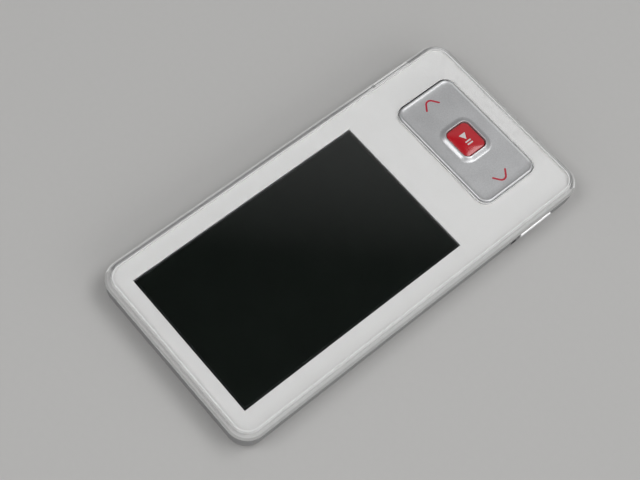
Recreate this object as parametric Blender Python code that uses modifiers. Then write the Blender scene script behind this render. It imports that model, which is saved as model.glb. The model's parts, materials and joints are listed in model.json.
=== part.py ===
"""Pocket digital audio player, modelled as the pieces that it comes apart into.

Metres, +Z up. The player lies on its back with the screen looking up: the keypad is at the +Y end,
the power button on the +X side and the volume rocker on the -X side. The origin is on the table
under the middle of the case.
"""

import math

import bmesh
import bpy

# Clearances
FIT = 0.0003  # sideways, between neighbouring pieces
SEAT = 0.0002  # under a piece that rests on another
BOND = 0.0001  # between glued, laminated or soldered pieces

# Screen window and white face
WINDOW_WIDTH = 0.0400
WINDOW_LENGTH = 0.06585
SCREEN_END_MARGIN = 0.0041  # white below the screen
SCREEN_KEY_SPACING = 0.0113  # white between the screen and the keypad
KEY_END_MARGIN = 0.00485  # white above the keypad
KEY_SIDE_MARGIN = 0.0085  # white beside the keypad
FACE_CORNER = 0.0038

# Clear front cover
RIM_WIDTH = 0.0016  # clear edge outside the white face
COVER_THICKNESS = 0.0012  # over the screen
COVER_DEPTH = 0.0020  # at the rim
COVER_EDGE_DROP = 0.00185  # foot of the lower bevel, below the cover's top
COVER_BREAK_DROP = 0.0006  # where the two bevels meet, below the cover's top
COVER_LOWER_BEVEL = 0.0008  # width seen from above
COVER_UPPER_BEVEL = 0.0007
COVER_OPENING_CHAMFER = 0.00015  # round the keypad

# White front frame
FRAME_THICKNESS = 0.0007
SKIRT_DROP = 0.0016
SKIRT_WALL = 0.0010
SCREEN_RIB_WIDTH = 0.0008
SCREEN_RIB_DROP = 0.0018
SCREEN_RIB_LENGTH = 0.0560

# Rear cover
SHELL_INSET = 0.0002  # behind the clear rim
SHELL_WALL = 0.0013
SHELL_FLOOR = 0.0010
SHELL_ROUND = 0.0032

# Snaps at the bottom end
SNAP_WIDTH = 0.0060
SNAP_HEIGHT = 0.0006
SNAP_REACH = 0.0006  # out from the skirt
SNAP_SPAN = 0.0140  # from the middle to each snap
SNAP_DROP = 0.0010  # below the rear cover's edge

# Keypad rocker
KEY_OPENING_WIDTH = 0.0331
KEY_OPENING_LENGTH = 0.0183
KEY_OPENING_CORNER = 0.0030
KEY_LIP_RISE = 0.0001  # lip above the clear cover
KEY_DISH_DEPTH = 0.00024  # dish below the lip
KEY_PILLOW_RISE = 0.0006  # bump above the dish
KEY_PILLOW_SPREAD = 0.0016  # width of the bump's slope
KEY_FLANGE_WIDTH = 0.0010  # beyond the rocker's side
KEY_FLANGE_THICKNESS = 0.0005
KEY_TILT = math.radians(1.05)
KEY_PRESS_INSET = 0.00425  # from the rocker's side to where it is pressed
KEY_LIP_PROFILE = (  # distance in from the side, share of the dish's depth
    (0.00012, 0.3),
    (0.00034, 0.0),
    (0.00062, 0.35),
    (0.0011, 0.75),
    (0.0024, 1.0),
)
KEY_PILLOW_PROFILE = (  # share of the slope's width from the button's hole, share of the bump's rise
    (1.0, 0.0),
    (0.66, 0.15),
    (0.36, 0.55),
    (0.16, 0.9),
    (0.06, 1.0),
)

# Centre button
BUTTON_WIDTH = 0.0080
BUTTON_LENGTH = 0.0068
BUTTON_CORNER = 0.0014
BUTTON_DOME = 0.00018
BUTTON_FLANGE_WIDTH = 0.0006
BUTTON_FLANGE_THICKNESS = 0.0005
BUTTON_STEM = 0.0030
BUTTON_TRAVEL = 0.0003
BUTTON_DOME_PROFILE = (  # distance in from the side, share of the dome's rise
    (0.00015, 0.45),
    (0.0005, 0.75),
    (0.0012, 0.95),
    (0.0022, 1.0),
)

# Side buttons
SIDE_BUTTON_LENGTH = 0.0106
SIDE_BUTTON_HEIGHT = 0.0014
SIDE_BUTTON_PROUD = 0.00045  # outside the clear rim
SIDE_BUTTON_OFFSET = -0.0012  # along the case, from the keypad's middle
SIDE_FLANGE_THICKNESS = 0.0007
SIDE_FLANGE_DROP = 0.0006
POWER_TRAVEL = 0.0003
VOLUME_TILT = math.radians(2.2)
VOLUME_SWITCH_SPAN = 0.0029  # from the rocker's middle to each switch

# Case screws
SIDE_SCREW_HEAD = 0.0012
SIDE_SCREW_HEAD_DEPTH = 0.0004
SIDE_SCREW_RECESS = 0.0008
SIDE_SCREW_SHANK = 0.0007
SIDE_SCREW_LENGTH = 0.0022
SIDE_SCREW_DROP = 0.0025  # axis below the rear cover's edge
SIDE_SCREW_WEB = 0.0004  # between the boss and the room for the button's flange

# Display module
GLASS_BORDER = 0.0010  # rear glass beyond the window
GLASS_LEDGE = 0.0042  # rear glass beyond the window at the keypad end
REAR_GLASS = 0.0007
FRONT_GLASS = 0.0011
GASKET_THICKNESS = 0.0003
BACKLIGHT_THICKNESS = 0.0008
TRAY_SHEET = 0.0002
FLEX_WIDTH = 0.0160
FLEX_THICKNESS = 0.00015

# Battery
BATTERY_THICKNESS = 0.0025
BATTERY_WIDTH = 0.0350
BATTERY_LENGTH = 0.0580
BATTERY_SHIFT = 0.0040  # away from the keypad, from the screen's middle
BATTERY_ROUND = 0.0006
BATTERY_CORNER = 0.0015
BATTERY_TAB = (0.0300, 0.0032, 0.00025)  # flat end of the pouch, under the guard board
BATTERY_TAB_LIFT = 0.0004
BATTERY_RIB_WIDTH = 0.0008
BATTERY_RIB_HEIGHT = 0.0012
BATTERY_SIDE_RIB = 0.0480
BATTERY_END_RIB = 0.0280
GUARD_BOARD = (0.0240, 0.0026, 0.0008)
LEAD_RADIUS = 0.0004
LEAD_SPACING = 0.0016

# Keypad mat, domes and boards
MAT_SHEET = 0.0003
MAT_LENGTH = 0.0088
PLUNGER_RADIUS = 0.0012
PLUNGER_HEIGHT = 0.0003
PRESS_MARGIN = 0.0001  # left over at full travel
DOME_RADIUS = 0.0025
DOME_HEIGHT = 0.00025
KEY_BOARD_THICKNESS = 0.0005
KEY_BOARD_LENGTH = 0.0090
KEY_WING_LENGTH = 0.0104
KEY_WING_SHIFT = 0.0006  # towards the screen, from the side buttons' middle
KEY_POST_RADIUS = 0.0015
MAIN_BOARD_THICKNESS = 0.0007
MAIN_BOARD_STANDOFF = 0.0006
BOARD_EDGE_GAP = 0.0016  # from the board to the rear cover's wall
BOARD_BOSS_RADIUS = 0.0016
BOARD_SCREW_HEAD = 0.0020
BOARD_SCREW_HEAD_DEPTH = 0.0004
BOARD_SCREW_SHANK = 0.0012
BOARD_SCREW_BITE = 0.0008  # length below the board

# Sockets at the top end
SOCKET_RECESS = 0.0009  # behind the rear cover's outer face
SOCKET_LIFT = 0.0004  # above the rear cover's floor
JACK_BODY = (0.0056, 0.0104, 0.0042)
JACK_COLLAR_RADIUS = 0.0021
JACK_COLLAR_LENGTH = 0.0016
JACK_BORE_RADIUS = 0.00175
JACK_BORE_DEPTH = 0.0104
USB_SHELL = (0.0076, 0.0090, 0.0037)
USB_SHEET = 0.0004
USB_CHAMFER = 0.0009  # along the lower edges
USB_DEPTH = 0.0060
USB_TONGUE = (0.0050, 0.0050, 0.0008)

# Pieces on the main board
LCD_CONNECTOR_CHEEK = 0.0007  # beside the ribbon
LCD_CONNECTOR_LENGTH = 0.0030
LCD_CONNECTOR_HEIGHT = 0.0009
LCD_SLOT_DEPTH = 0.0020
LCD_CONNECTOR_SETBACK = 0.0048  # from the board's edge next to the screen
BATTERY_CONNECTOR = (0.0046, 0.0028, 0.0016)
BATTERY_LEAD_DEPTH = 0.0012
BATTERY_CONNECTOR_X = -0.0125
BATTERY_CONNECTOR_SETBACK = 0.0024
KEY_CONNECTOR = (0.0090, 0.0026, 0.0009)
PROCESSOR = (0.0090, 0.0090, 0.0006)
PROCESSOR_AT = (-1, 0.01115, -0.0030)  # side, in from the board's edge, along from the keypad's middle
MEMORY_1 = (0.0080, 0.0120, 0.0006)
MEMORY_1_AT = (1, 0.01315, -0.0022)
MEMORY_2 = (0.0050, 0.0056, 0.0006)
MEMORY_2_AT = (1, 0.00565, -0.0012)
POWER_CHIP = (0.0040, 0.0040, 0.0006)
POWER_CHIP_AT = (-1, 0.00315, 0.0065)
AUDIO_CODEC = (0.0040, 0.0040, 0.0006)
AUDIO_CODEC_AT = (1, 0.01065, 0.0066)
CRYSTAL = (0.0032, 0.0025, 0.0006)
CRYSTAL_ROUND = 0.00015
CRYSTAL_AT = (-1, 0.00415, -0.0020)
COIL_RADIUS = 0.0015
COIL_WAIST = 0.0011
COIL_HEIGHT = 0.0006
COIL_FLANGE = 0.00015
POWER_COIL_AT = (-1, 0.00865, 0.0065)

# Side switches
SWITCH_BODY = (0.0017, 0.0032, 0.0017)
SWITCH_NUB = 0.0004
SWITCH_NUB_WIDTH = 0.0014

# Smoothness of rounded shapes
CORNER_STEPS = 8
ROUND_STEPS = 6
TURN_STEPS = 24
SAME_HEIGHT = 1e-6
OVERLAP = 0.0003  # of shapes that are joined
PAST = 0.0020  # of a cutter beyond the wall that it cuts

# Widths and lengths that follow
FACE_WIDTH = KEY_OPENING_WIDTH + 2 * KEY_SIDE_MARGIN
FACE_LENGTH = (
    SCREEN_END_MARGIN + WINDOW_LENGTH + SCREEN_KEY_SPACING + KEY_OPENING_LENGTH + KEY_END_MARGIN
)
BODY_WIDTH = FACE_WIDTH + 2 * RIM_WIDTH
BODY_LENGTH = FACE_LENGTH + 2 * RIM_WIDTH
BODY_CORNER = FACE_CORNER + RIM_WIDTH
SHELL_WIDTH = BODY_WIDTH - 2 * SHELL_INSET
SHELL_LENGTH = BODY_LENGTH - 2 * SHELL_INSET
SHELL_CORNER = BODY_CORNER - SHELL_INSET
INSIDE_WIDTH = SHELL_WIDTH - 2 * SHELL_WALL
INSIDE_LENGTH = SHELL_LENGTH - 2 * SHELL_WALL
INSIDE_CORNER = SHELL_CORNER - SHELL_WALL
SKIRT_WIDTH = INSIDE_WIDTH - 2 * FIT
SKIRT_LENGTH = INSIDE_LENGTH - 2 * FIT
SKIRT_CORNER = INSIDE_CORNER - FIT
SNAP_END_Y = SKIRT_LENGTH / 2 + SNAP_REACH
WINDOW_Y = -FACE_LENGTH / 2 + SCREEN_END_MARGIN + WINDOW_LENGTH / 2
WINDOW_TOP_Y = WINDOW_Y + WINDOW_LENGTH / 2
KEY_Y = FACE_LENGTH / 2 - KEY_END_MARGIN - KEY_OPENING_LENGTH / 2

# Heights that follow, from the table up through the battery and the display
BATTERY_Z = SHELL_FLOOR + SEAT
TRAY_Z = BATTERY_Z + BATTERY_THICKNESS + SEAT
BACKLIGHT_Z = TRAY_Z + TRAY_SHEET + BOND
GLASS_Z = BACKLIGHT_Z + BACKLIGHT_THICKNESS + BOND
GLASS_STEP_Z = GLASS_Z + REAR_GLASS
GASKET_Z = GLASS_STEP_Z + BOND
FRAME_Z = GASKET_Z + GASKET_THICKNESS + BOND
COVER_UNDER_Z = FRAME_Z + FRAME_THICKNESS + SEAT
COVER_TOP_Z = COVER_UNDER_Z + COVER_THICKNESS
RIM_Z = COVER_TOP_Z - COVER_DEPTH
SHELL_TOP_Z = RIM_Z - SEAT
SNAP_Z = SHELL_TOP_Z - SNAP_DROP - SNAP_HEIGHT / 2

# Keypad levels, from the frame down to the key board
KEY_HALF_WIDTH = KEY_OPENING_WIDTH / 2 - FIT
KEY_HALF_LENGTH = KEY_OPENING_LENGTH / 2 - FIT
KEY_CORNER = KEY_OPENING_CORNER - FIT
KEY_PRESS_SPAN = KEY_HALF_WIDTH - KEY_PRESS_INSET
FLANGE_HALF_WIDTH = KEY_HALF_WIDTH + KEY_FLANGE_WIDTH
FLANGE_HALF_LENGTH = KEY_HALF_LENGTH + KEY_FLANGE_WIDTH
FLANGE_TOP_Z = FRAME_Z - FLANGE_HALF_WIDTH * math.sin(KEY_TILT) - PRESS_MARGIN
FLANGE_Z = FLANGE_TOP_Z - KEY_FLANGE_THICKNESS
KEY_PIVOT_Z = (FLANGE_TOP_Z + FLANGE_Z) / 2
KEY_LIP_Z = COVER_TOP_Z + KEY_LIP_RISE
KEY_DISH_Z = KEY_LIP_Z - KEY_DISH_DEPTH
KEY_PILLOW_Z = KEY_DISH_Z + KEY_PILLOW_RISE
PRESS_DROP = max(KEY_PRESS_SPAN * math.sin(KEY_TILT), BUTTON_TRAVEL) + PRESS_MARGIN
PLUNGER_TOP_Z = FLANGE_Z - PRESS_DROP
MAT_Z = PLUNGER_TOP_Z - PLUNGER_HEIGHT - MAT_SHEET
DOME_Z = MAT_Z - BOND - DOME_HEIGHT
KEY_BOARD_TOP_Z = DOME_Z - BOND
KEY_BOARD_Z = KEY_BOARD_TOP_Z - KEY_BOARD_THICKNESS
MAIN_BOARD_Z = SHELL_FLOOR + MAIN_BOARD_STANDOFF
MAIN_BOARD_TOP_Z = MAIN_BOARD_Z + MAIN_BOARD_THICKNESS

# Side buttons and case screws
SIDE_Y = KEY_Y + SIDE_BUTTON_OFFSET
SIDE_TOP_Z = RIM_Z - FIT
SIDE_Z = SIDE_TOP_Z - SIDE_BUTTON_HEIGHT
SIDE_FACE_X = BODY_WIDTH / 2 + SIDE_BUTTON_PROUD
SIDE_FLANGE_X = INSIDE_WIDTH / 2 - FIT - SIDE_FLANGE_THICKNESS / 2
SIDE_FLANGE_BACK_X = SIDE_FLANGE_X - SIDE_FLANGE_THICKNESS / 2
VOLUME_TRAVEL = (VOLUME_SWITCH_SPAN + SWITCH_NUB_WIDTH / 2) * math.sin(VOLUME_TILT)
SIDE_TRAVEL = max(POWER_TRAVEL, VOLUME_TRAVEL)
SWITCH_X = SIDE_FLANGE_BACK_X - SIDE_TRAVEL - PRESS_MARGIN - SWITCH_NUB - SWITCH_BODY[0] / 2
SIDE_SCREW_Y = SIDE_Y - SIDE_BUTTON_LENGTH / 2 - FIT - SIDE_SCREW_WEB - SIDE_SCREW_HEAD / 2
SIDE_SCREW_Z = SHELL_TOP_Z - SIDE_SCREW_DROP
SIDE_SCREW_SEAT_X = SHELL_WIDTH / 2 - SIDE_SCREW_RECESS

# Boards
KEY_WING_HALF_WIDTH = SWITCH_X + SWITCH_BODY[0] / 2 + BOND
KEY_POST_X = SWITCH_X - SWITCH_BODY[0] / 2 - FIT - KEY_POST_RADIUS
KEY_WING_Y = SIDE_Y - KEY_WING_SHIFT
KEY_POST_Y = KEY_WING_Y - KEY_WING_LENGTH / 2 + KEY_POST_RADIUS
GLASS_LENGTH = WINDOW_LENGTH + GLASS_BORDER + GLASS_LEDGE
GLASS_Y = WINDOW_Y + (GLASS_LEDGE - GLASS_BORDER) / 2
GLASS_WIDTH = WINDOW_WIDTH + 2 * GLASS_BORDER
TRAY_WIDTH = GLASS_WIDTH + 2 * (BOND + TRAY_SHEET)
TRAY_LENGTH = GLASS_LENGTH + 2 * (BOND + TRAY_SHEET)
TRAY_END_Y = GLASS_Y + TRAY_LENGTH / 2
MAIN_BOARD_FRONT_Y = TRAY_END_Y + 2 * FIT
MAIN_BOARD_BACK_Y = INSIDE_LENGTH / 2 - BOARD_EDGE_GAP
MAIN_BOARD_WIDTH = INSIDE_WIDTH - 2 * BOARD_EDGE_GAP
MAIN_BOARD_Y = (MAIN_BOARD_FRONT_Y + MAIN_BOARD_BACK_Y) / 2
LCD_CONNECTOR_Y = MAIN_BOARD_FRONT_Y + LCD_CONNECTOR_SETBACK
LCD_CONNECTOR_FRONT_Y = LCD_CONNECTOR_Y - LCD_CONNECTOR_LENGTH / 2
LCD_SLOT_Z = MAIN_BOARD_TOP_Z + BOND + LCD_CONNECTOR_HEIGHT / 2
BATTERY_CONNECTOR_Y = MAIN_BOARD_FRONT_Y + BATTERY_CONNECTOR_SETBACK
BATTERY_CONNECTOR_FRONT_Y = BATTERY_CONNECTOR_Y - BATTERY_CONNECTOR[1] / 2
BATTERY_LEAD_Z = MAIN_BOARD_TOP_Z + BOND + BATTERY_CONNECTOR[2] / 2
BATTERY_Y = WINDOW_Y - BATTERY_SHIFT
GUARD_Z = BATTERY_Z + BATTERY_TAB_LIFT + BATTERY_TAB[2] + BOND
GUARD_Y = BATTERY_Y + BATTERY_LENGTH / 2 + FIT + GUARD_BOARD[1] / 2

# Sockets
SOCKET_FACE_Y = SHELL_LENGTH / 2 - SOCKET_RECESS
SOCKET_Z = SHELL_FLOOR + SOCKET_LIFT
JACK_X = FLANGE_HALF_WIDTH + FIT + JACK_BODY[0] / 2
JACK_Y = SOCKET_FACE_Y - JACK_COLLAR_LENGTH - JACK_BODY[1] / 2
JACK_AXIS_Z = SOCKET_Z + JACK_BODY[2] / 2
USB_Y = SOCKET_FACE_Y - USB_SHELL[1] / 2

# Colours
WHITE = (0.80, 0.80, 0.79)
SILVER = (0.52, 0.53, 0.54)
SHELL_GREY = (0.27, 0.27, 0.28)
CHROME = (0.78, 0.79, 0.80)
STEEL = (0.56, 0.56, 0.55)
BUTTON_RED = (0.55, 0.012, 0.022)
SCREEN_BLACK = (0.008, 0.009, 0.009)
BOARD_GREEN = (0.02, 0.11, 0.05)
CHIP_BLACK = (0.02, 0.02, 0.022)
RUBBER_GREY = (0.30, 0.30, 0.31)
FOIL_GREY = (0.62, 0.63, 0.64)
FLEX_AMBER = (0.36, 0.16, 0.03)
LEAD_RED = (0.50, 0.02, 0.02)


def clear_scene():
    for obj in list(bpy.data.objects):
        bpy.data.objects.remove(obj, do_unlink=True)


def new_collection(name):
    collection = bpy.data.collections.new(name)
    bpy.context.scene.collection.children.link(collection)
    return collection


def finish(name, colour, roughness, metallic=0.0, clear=0.0):
    material = bpy.data.materials.new(name)
    material.use_nodes = True
    shader = material.node_tree.nodes["Principled BSDF"]
    shader.inputs["Base Color"].default_value = (*colour, 1.0)
    shader.inputs["Roughness"].default_value = roughness
    shader.inputs["Metallic"].default_value = metallic
    shader.inputs["Transmission Weight"].default_value = clear
    return material


def block_mesh(size, corner=0.0):
    """A box that stands on z = 0, with its upright edges rounded."""
    bm = bmesh.new()
    bmesh.ops.create_cube(bm, size=1.0)
    bmesh.ops.scale(bm, vec=size, verts=bm.verts)
    bmesh.ops.translate(bm, vec=(0.0, 0.0, size[2] / 2), verts=bm.verts)
    if corner:
        upright = [edge for edge in bm.edges if abs(edge.verts[0].co.z - edge.verts[1].co.z) > SAME_HEIGHT]
        bmesh.ops.bevel(
            bm, geom=upright, offset=corner, segments=CORNER_STEPS, profile=0.5, affect="EDGES"
        )
    return bm


def soften(bm, height, width, steps):
    """Bevels the outline at one height: one step is a chamfer, several steps are a round."""
    level = [vert for vert in bm.verts if abs(vert.co.z - height) < SAME_HEIGHT]
    outline = [edge for edge in bm.edges if all(vert in level for vert in edge.verts)]
    bmesh.ops.bevel(bm, geom=outline, offset=width, segments=steps, profile=0.5, affect="EDGES")


def ring(half_width, half_length, corner, height):
    """The points of a rounded rectangle, counter-clockwise from the +X side."""
    points = []
    for quarter, (x_side, y_side) in enumerate(((1, 1), (-1, 1), (-1, -1), (1, -1))):
        for step in range(CORNER_STEPS + 1):
            angle = (quarter + step / CORNER_STEPS) * math.pi / 2
            x = x_side * (half_width - corner) + corner * math.cos(angle)
            y = y_side * (half_length - corner) + corner * math.sin(angle)
            points.append((x, y, height))
    return points


def loft_mesh(rings, has_hole):
    """Skins rounded rectangles in order. With a hole the last joins the first, or else both are capped."""
    bm = bmesh.new()
    loops = [[bm.verts.new(point) for point in points] for points in rings]
    pairs = list(zip(loops, loops[1:]))
    if has_hole:
        pairs.append((loops[-1], loops[0]))
    for lower, upper in pairs:
        for i in range(len(lower)):
            j = (i + 1) % len(lower)
            bm.faces.new((lower[i], lower[j], upper[j], upper[i]))
    if not has_hole:
        bm.faces.new(reversed(loops[0]))
        bm.faces.new(loops[-1])
    return bm


def add_object(name, bm, at, material, collection):
    bmesh.ops.recalc_face_normals(bm, faces=bm.faces)
    mesh = bpy.data.meshes.new(name)
    bm.to_mesh(mesh)
    bm.free()
    mesh.shade_smooth()
    mesh.set_sharp_from_angle(angle=math.radians(32))
    if material:
        mesh.materials.append(material)
    obj = bpy.data.objects.new(name, mesh)
    obj.location = at
    collection.objects.link(obj)
    return obj


def add_part(name, bm, at, material):
    obj = add_object(name, bm, at, material, parts)
    obj.parent = player
    return obj


def add_helper(name, bm, at):
    """A shape that only cuts or joins: drawn as wire and left out of the finished object."""
    obj = add_object(name, bm, at, None, helpers)
    obj.hide_render = True
    obj.display_type = "WIRE"
    return obj


def helper_block(name, size, at, corner=0.0):
    return add_helper(name, block_mesh(size, corner), at)


def helper_rod(name, radius, length, at, along="Z"):
    """A cylinder centred at a point, along one axis."""
    bm = bmesh.new()
    bmesh.ops.create_cone(
        bm, cap_ends=True, segments=TURN_STEPS, radius1=radius, radius2=radius, depth=length
    )
    obj = add_helper(name, bm, at)
    obj.rotation_euler = {"X": (0, math.pi / 2, 0), "Y": (math.pi / 2, 0, 0), "Z": (0, 0, 0)}[along]
    return obj


def combine(target, operation, others, solver):
    for other in others:
        modifier = target.modifiers.new(f"{operation.lower()}_{other.name}", "BOOLEAN")
        modifier.operation = operation
        modifier.solver = solver
        modifier.object = other


def cut(target, *cutters):
    combine(target, "DIFFERENCE", cutters, "EXACT")


def join(target, *additions, solver="EXACT"):
    combine(target, "UNION", additions, solver)


def add_turned(name, profile, at, material, rotation=(0.0, 0.0, 0.0)):
    """Turns a profile of (radius, height) points, given from the top of the axis to its foot, round Z."""
    bm = bmesh.new()
    verts = [bm.verts.new((radius, 0.0, height)) for radius, height in profile]
    for upper, lower in zip(verts, verts[1:]):
        bm.edges.new((upper, lower))
    obj = add_part(name, bm, at, material)
    obj.rotation_euler = rotation
    turn = obj.modifiers.new("turn", "SCREW")
    turn.axis = "Z"
    turn.steps = TURN_STEPS
    turn.render_steps = TURN_STEPS
    turn.use_merge_vertices = True
    turn.merge_threshold = SAME_HEIGHT
    return obj


def screw_profile(head, head_depth, shank, length):
    """Head above z = 0, shank below it."""
    return (
        (0.0, head_depth),
        (head / 2 - head_depth / 3, head_depth),
        (head / 2, head_depth * 2 / 3),
        (head / 2, 0.0),
        (shank / 2, 0.0),
        (shank / 2, -length),
        (0.0, -length),
    )


def side_notch(side):
    """The gap that a side button stands in: through the rear cover's wall and open at its edge."""
    size = (2 * PAST, SIDE_BUTTON_LENGTH + 2 * FIT, SHELL_TOP_Z - SIDE_Z + FIT + PAST)
    return helper_block(f"side_notch_{side:+d}", size, (side * SHELL_WIDTH / 2, SIDE_Y, SIDE_Z - FIT))


def side_flange_room(side):
    """The room behind the rear cover's wall for a side button's flange and its switch."""
    flange_z = SIDE_Z - SIDE_FLANGE_DROP
    size = (2 * PAST, SIDE_BUTTON_LENGTH + 2 * FIT, FRAME_Z - flange_z + FIT)
    return helper_block(f"flange_room_{side:+d}", size, (side * SKIRT_WIDTH / 2, SIDE_Y, flange_z - FIT))


def jack_room():
    size = (
        JACK_BODY[0] + 2 * FIT,
        JACK_BODY[1] + JACK_COLLAR_LENGTH + 2 * FIT,
        JACK_BODY[2] + 2 * FIT,
    )
    return helper_block("jack_room", size, (JACK_X, SOCKET_FACE_Y - size[1] / 2 + FIT, SOCKET_Z - FIT))


def usb_mesh(size):
    """A block with its two lower long edges cut off, as the plug's shape is."""
    bm = block_mesh(size)
    lower = [edge for edge in bm.edges if all(vert.co.z < SAME_HEIGHT for vert in edge.verts)]
    lower = [edge for edge in lower if abs(edge.verts[0].co.y - edge.verts[1].co.y) > SAME_HEIGHT]
    bmesh.ops.bevel(bm, geom=lower, offset=USB_CHAMFER, segments=1, affect="EDGES")
    return bm


def usb_room():
    size = (USB_SHELL[0] + 2 * FIT, USB_SHELL[1] + 2 * FIT, USB_SHELL[2] + 2 * FIT)
    return helper_block("usb_room", size, (0.0, USB_Y, SOCKET_Z - FIT))


def socket_mouths():
    """Openings through the rear cover's end wall for the earphone jack and the USB socket."""
    wall = SOCKET_RECESS + SHELL_WALL + PAST
    mouth_y = SHELL_LENGTH / 2 - SOCKET_RECESS + wall / 2 - SHELL_WALL
    jack = helper_rod(
        "jack_mouth", JACK_COLLAR_RADIUS + FIT, 2 * wall, (JACK_X, mouth_y, JACK_AXIS_Z), "Y"
    )
    size = (USB_SHELL[0] + 2 * FIT, 2 * wall, USB_SHELL[2] + 2 * FIT)
    usb = add_helper("usb_mouth", usb_mesh(size), (0.0, mouth_y, SOCKET_Z - FIT))
    pocket_size = tuple(side + 2 * FIT for side in JACK_BODY)
    pocket = helper_block("jack_pocket", pocket_size, (JACK_X, JACK_Y, SOCKET_Z - FIT))
    return jack, usb, pocket


def board_screw_places():
    front_y = MAIN_BOARD_FRONT_Y + BOARD_BOSS_RADIUS + FIT
    back_y = MAIN_BOARD_BACK_Y - BOARD_BOSS_RADIUS - FIT
    front_x = MAIN_BOARD_WIDTH / 2 - BOARD_BOSS_RADIUS - FIT
    back_x = (USB_SHELL[0] / 2 + JACK_X - JACK_BODY[0] / 2) / 2
    return ((-front_x, front_y), (front_x, front_y), (-back_x, back_y), (back_x, back_y))


def front_cover():
    """A clear plate with a deeper rim, bevelled twice round its edge."""
    levels = (
        (0.0, 0.0),
        (0.0, COVER_DEPTH - COVER_EDGE_DROP),
        (COVER_LOWER_BEVEL, COVER_DEPTH - COVER_BREAK_DROP),
        (COVER_LOWER_BEVEL + COVER_UPPER_BEVEL, COVER_DEPTH),
    )
    rings = []
    for inset, height in levels:
        half_width = BODY_WIDTH / 2 - inset
        half_length = BODY_LENGTH / 2 - inset
        rings.append(ring(half_width, half_length, BODY_CORNER - inset, height))
    bm = loft_mesh(rings, has_hole=False)
    cover = add_part("front_cover", bm, (0.0, 0.0, RIM_Z), clear_acrylic)
    pocket_size = (FACE_WIDTH + 2 * FIT, FACE_LENGTH + 2 * FIT, COVER_UNDER_Z - RIM_Z + PAST)
    pocket = helper_block("cover_pocket", pocket_size, (0.0, 0.0, RIM_Z - PAST), FACE_CORNER + FIT)
    cut(cover, pocket, cover_opening())


def cover_opening():
    """The keypad's opening in the clear cover, flared at the top."""
    flare = COVER_OPENING_CHAMFER + OVERLAP
    levels = (
        (0.0, RIM_Z - PAST),
        (0.0, COVER_TOP_Z - COVER_OPENING_CHAMFER),
        (flare, COVER_TOP_Z + OVERLAP),
    )
    rings = []
    for spread, height in levels:
        half_width = KEY_OPENING_WIDTH / 2 + spread
        half_length = KEY_OPENING_LENGTH / 2 + spread
        rings.append(ring(half_width, half_length, KEY_OPENING_CORNER + spread, height))
    return add_helper("cover_opening", loft_mesh(rings, has_hole=False), (0.0, KEY_Y, 0.0))


def side_screw_boss(side):
    outer_x = (SKIRT_WIDTH - SKIRT_WALL) / 2
    bottom = SIDE_SCREW_Z - SIDE_SCREW_HEAD / 2
    size = (SIDE_SCREW_LENGTH, SIDE_SCREW_HEAD, FRAME_Z + OVERLAP - bottom)
    at = (side * (outer_x - SIDE_SCREW_LENGTH / 2), SIDE_SCREW_Y, bottom)
    return helper_block(f"screw_boss_{side:+d}", size, at)


def frame_skirt():
    """A wall under the frame's edge that tucks into the rear cover."""
    height = SKIRT_DROP + OVERLAP
    at = (0.0, 0.0, FRAME_Z - SKIRT_DROP)
    skirt = helper_block("frame_skirt", (SKIRT_WIDTH, SKIRT_LENGTH, height), at, SKIRT_CORNER)
    inner_size = (SKIRT_WIDTH - 2 * SKIRT_WALL, SKIRT_LENGTH - 2 * SKIRT_WALL, height + 2 * PAST)
    inner_at = (0.0, 0.0, FRAME_Z - SKIRT_DROP - PAST)
    inner_corner = SKIRT_CORNER - SKIRT_WALL
    cut(skirt, helper_block("skirt_inside", inner_size, inner_at, inner_corner))
    return skirt


def snap(side):
    """A lug on the skirt's bottom end, with a lead-in under it."""
    length = SNAP_REACH + SKIRT_WALL / 2
    bm = block_mesh((SNAP_WIDTH, length, SNAP_HEIGHT))
    outer = [vert for vert in bm.verts if vert.co.z < SAME_HEIGHT and vert.co.y < 0]
    lead_in = [edge for edge in bm.edges if all(vert in outer for vert in edge.verts)]
    bmesh.ops.bevel(bm, geom=lead_in, offset=SNAP_HEIGHT / 2, segments=1, affect="EDGES")
    return add_helper(f"snap_{side:+d}", bm, (side * SNAP_SPAN, -SNAP_END_Y + length / 2, SNAP_Z))


def snap_pocket(side):
    """The pocket in the rear cover's end wall that a snap goes into."""
    depth = SNAP_REACH + 2 * FIT
    size = (SNAP_WIDTH + 2 * FIT, depth, SNAP_HEIGHT + 2 * FIT)
    at = (side * SNAP_SPAN, -SNAP_END_Y - FIT + depth / 2, SNAP_Z - FIT)
    return helper_block(f"snap_pocket_{side:+d}", size, at)


def battery_ribs():
    """Low walls on the rear cover's floor that keep the battery in place."""
    height = BATTERY_RIB_HEIGHT + OVERLAP
    z = SHELL_FLOOR - OVERLAP
    side_x = BATTERY_WIDTH / 2 + FIT + BATTERY_RIB_WIDTH / 2
    end_y = BATTERY_Y - BATTERY_LENGTH / 2 - FIT - BATTERY_RIB_WIDTH / 2
    side_size = (BATTERY_RIB_WIDTH, BATTERY_SIDE_RIB, height)
    end_size = (BATTERY_END_RIB, BATTERY_RIB_WIDTH, height)
    left = helper_block("battery_rib_left", side_size, (-side_x, BATTERY_Y, z))
    right = helper_block("battery_rib_right", side_size, (side_x, BATTERY_Y, z))
    return left, right, helper_block("battery_rib_end", end_size, (0.0, end_y, z))


def screen_rib(side):
    """Holds one long side of the display tray."""
    size = (SCREEN_RIB_WIDTH, SCREEN_RIB_LENGTH, SCREEN_RIB_DROP + OVERLAP)
    x = side * (TRAY_WIDTH / 2 + FIT + SCREEN_RIB_WIDTH / 2)
    return helper_block(f"screen_rib_{side:+d}", size, (x, WINDOW_Y, FRAME_Z - SCREEN_RIB_DROP))


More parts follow.
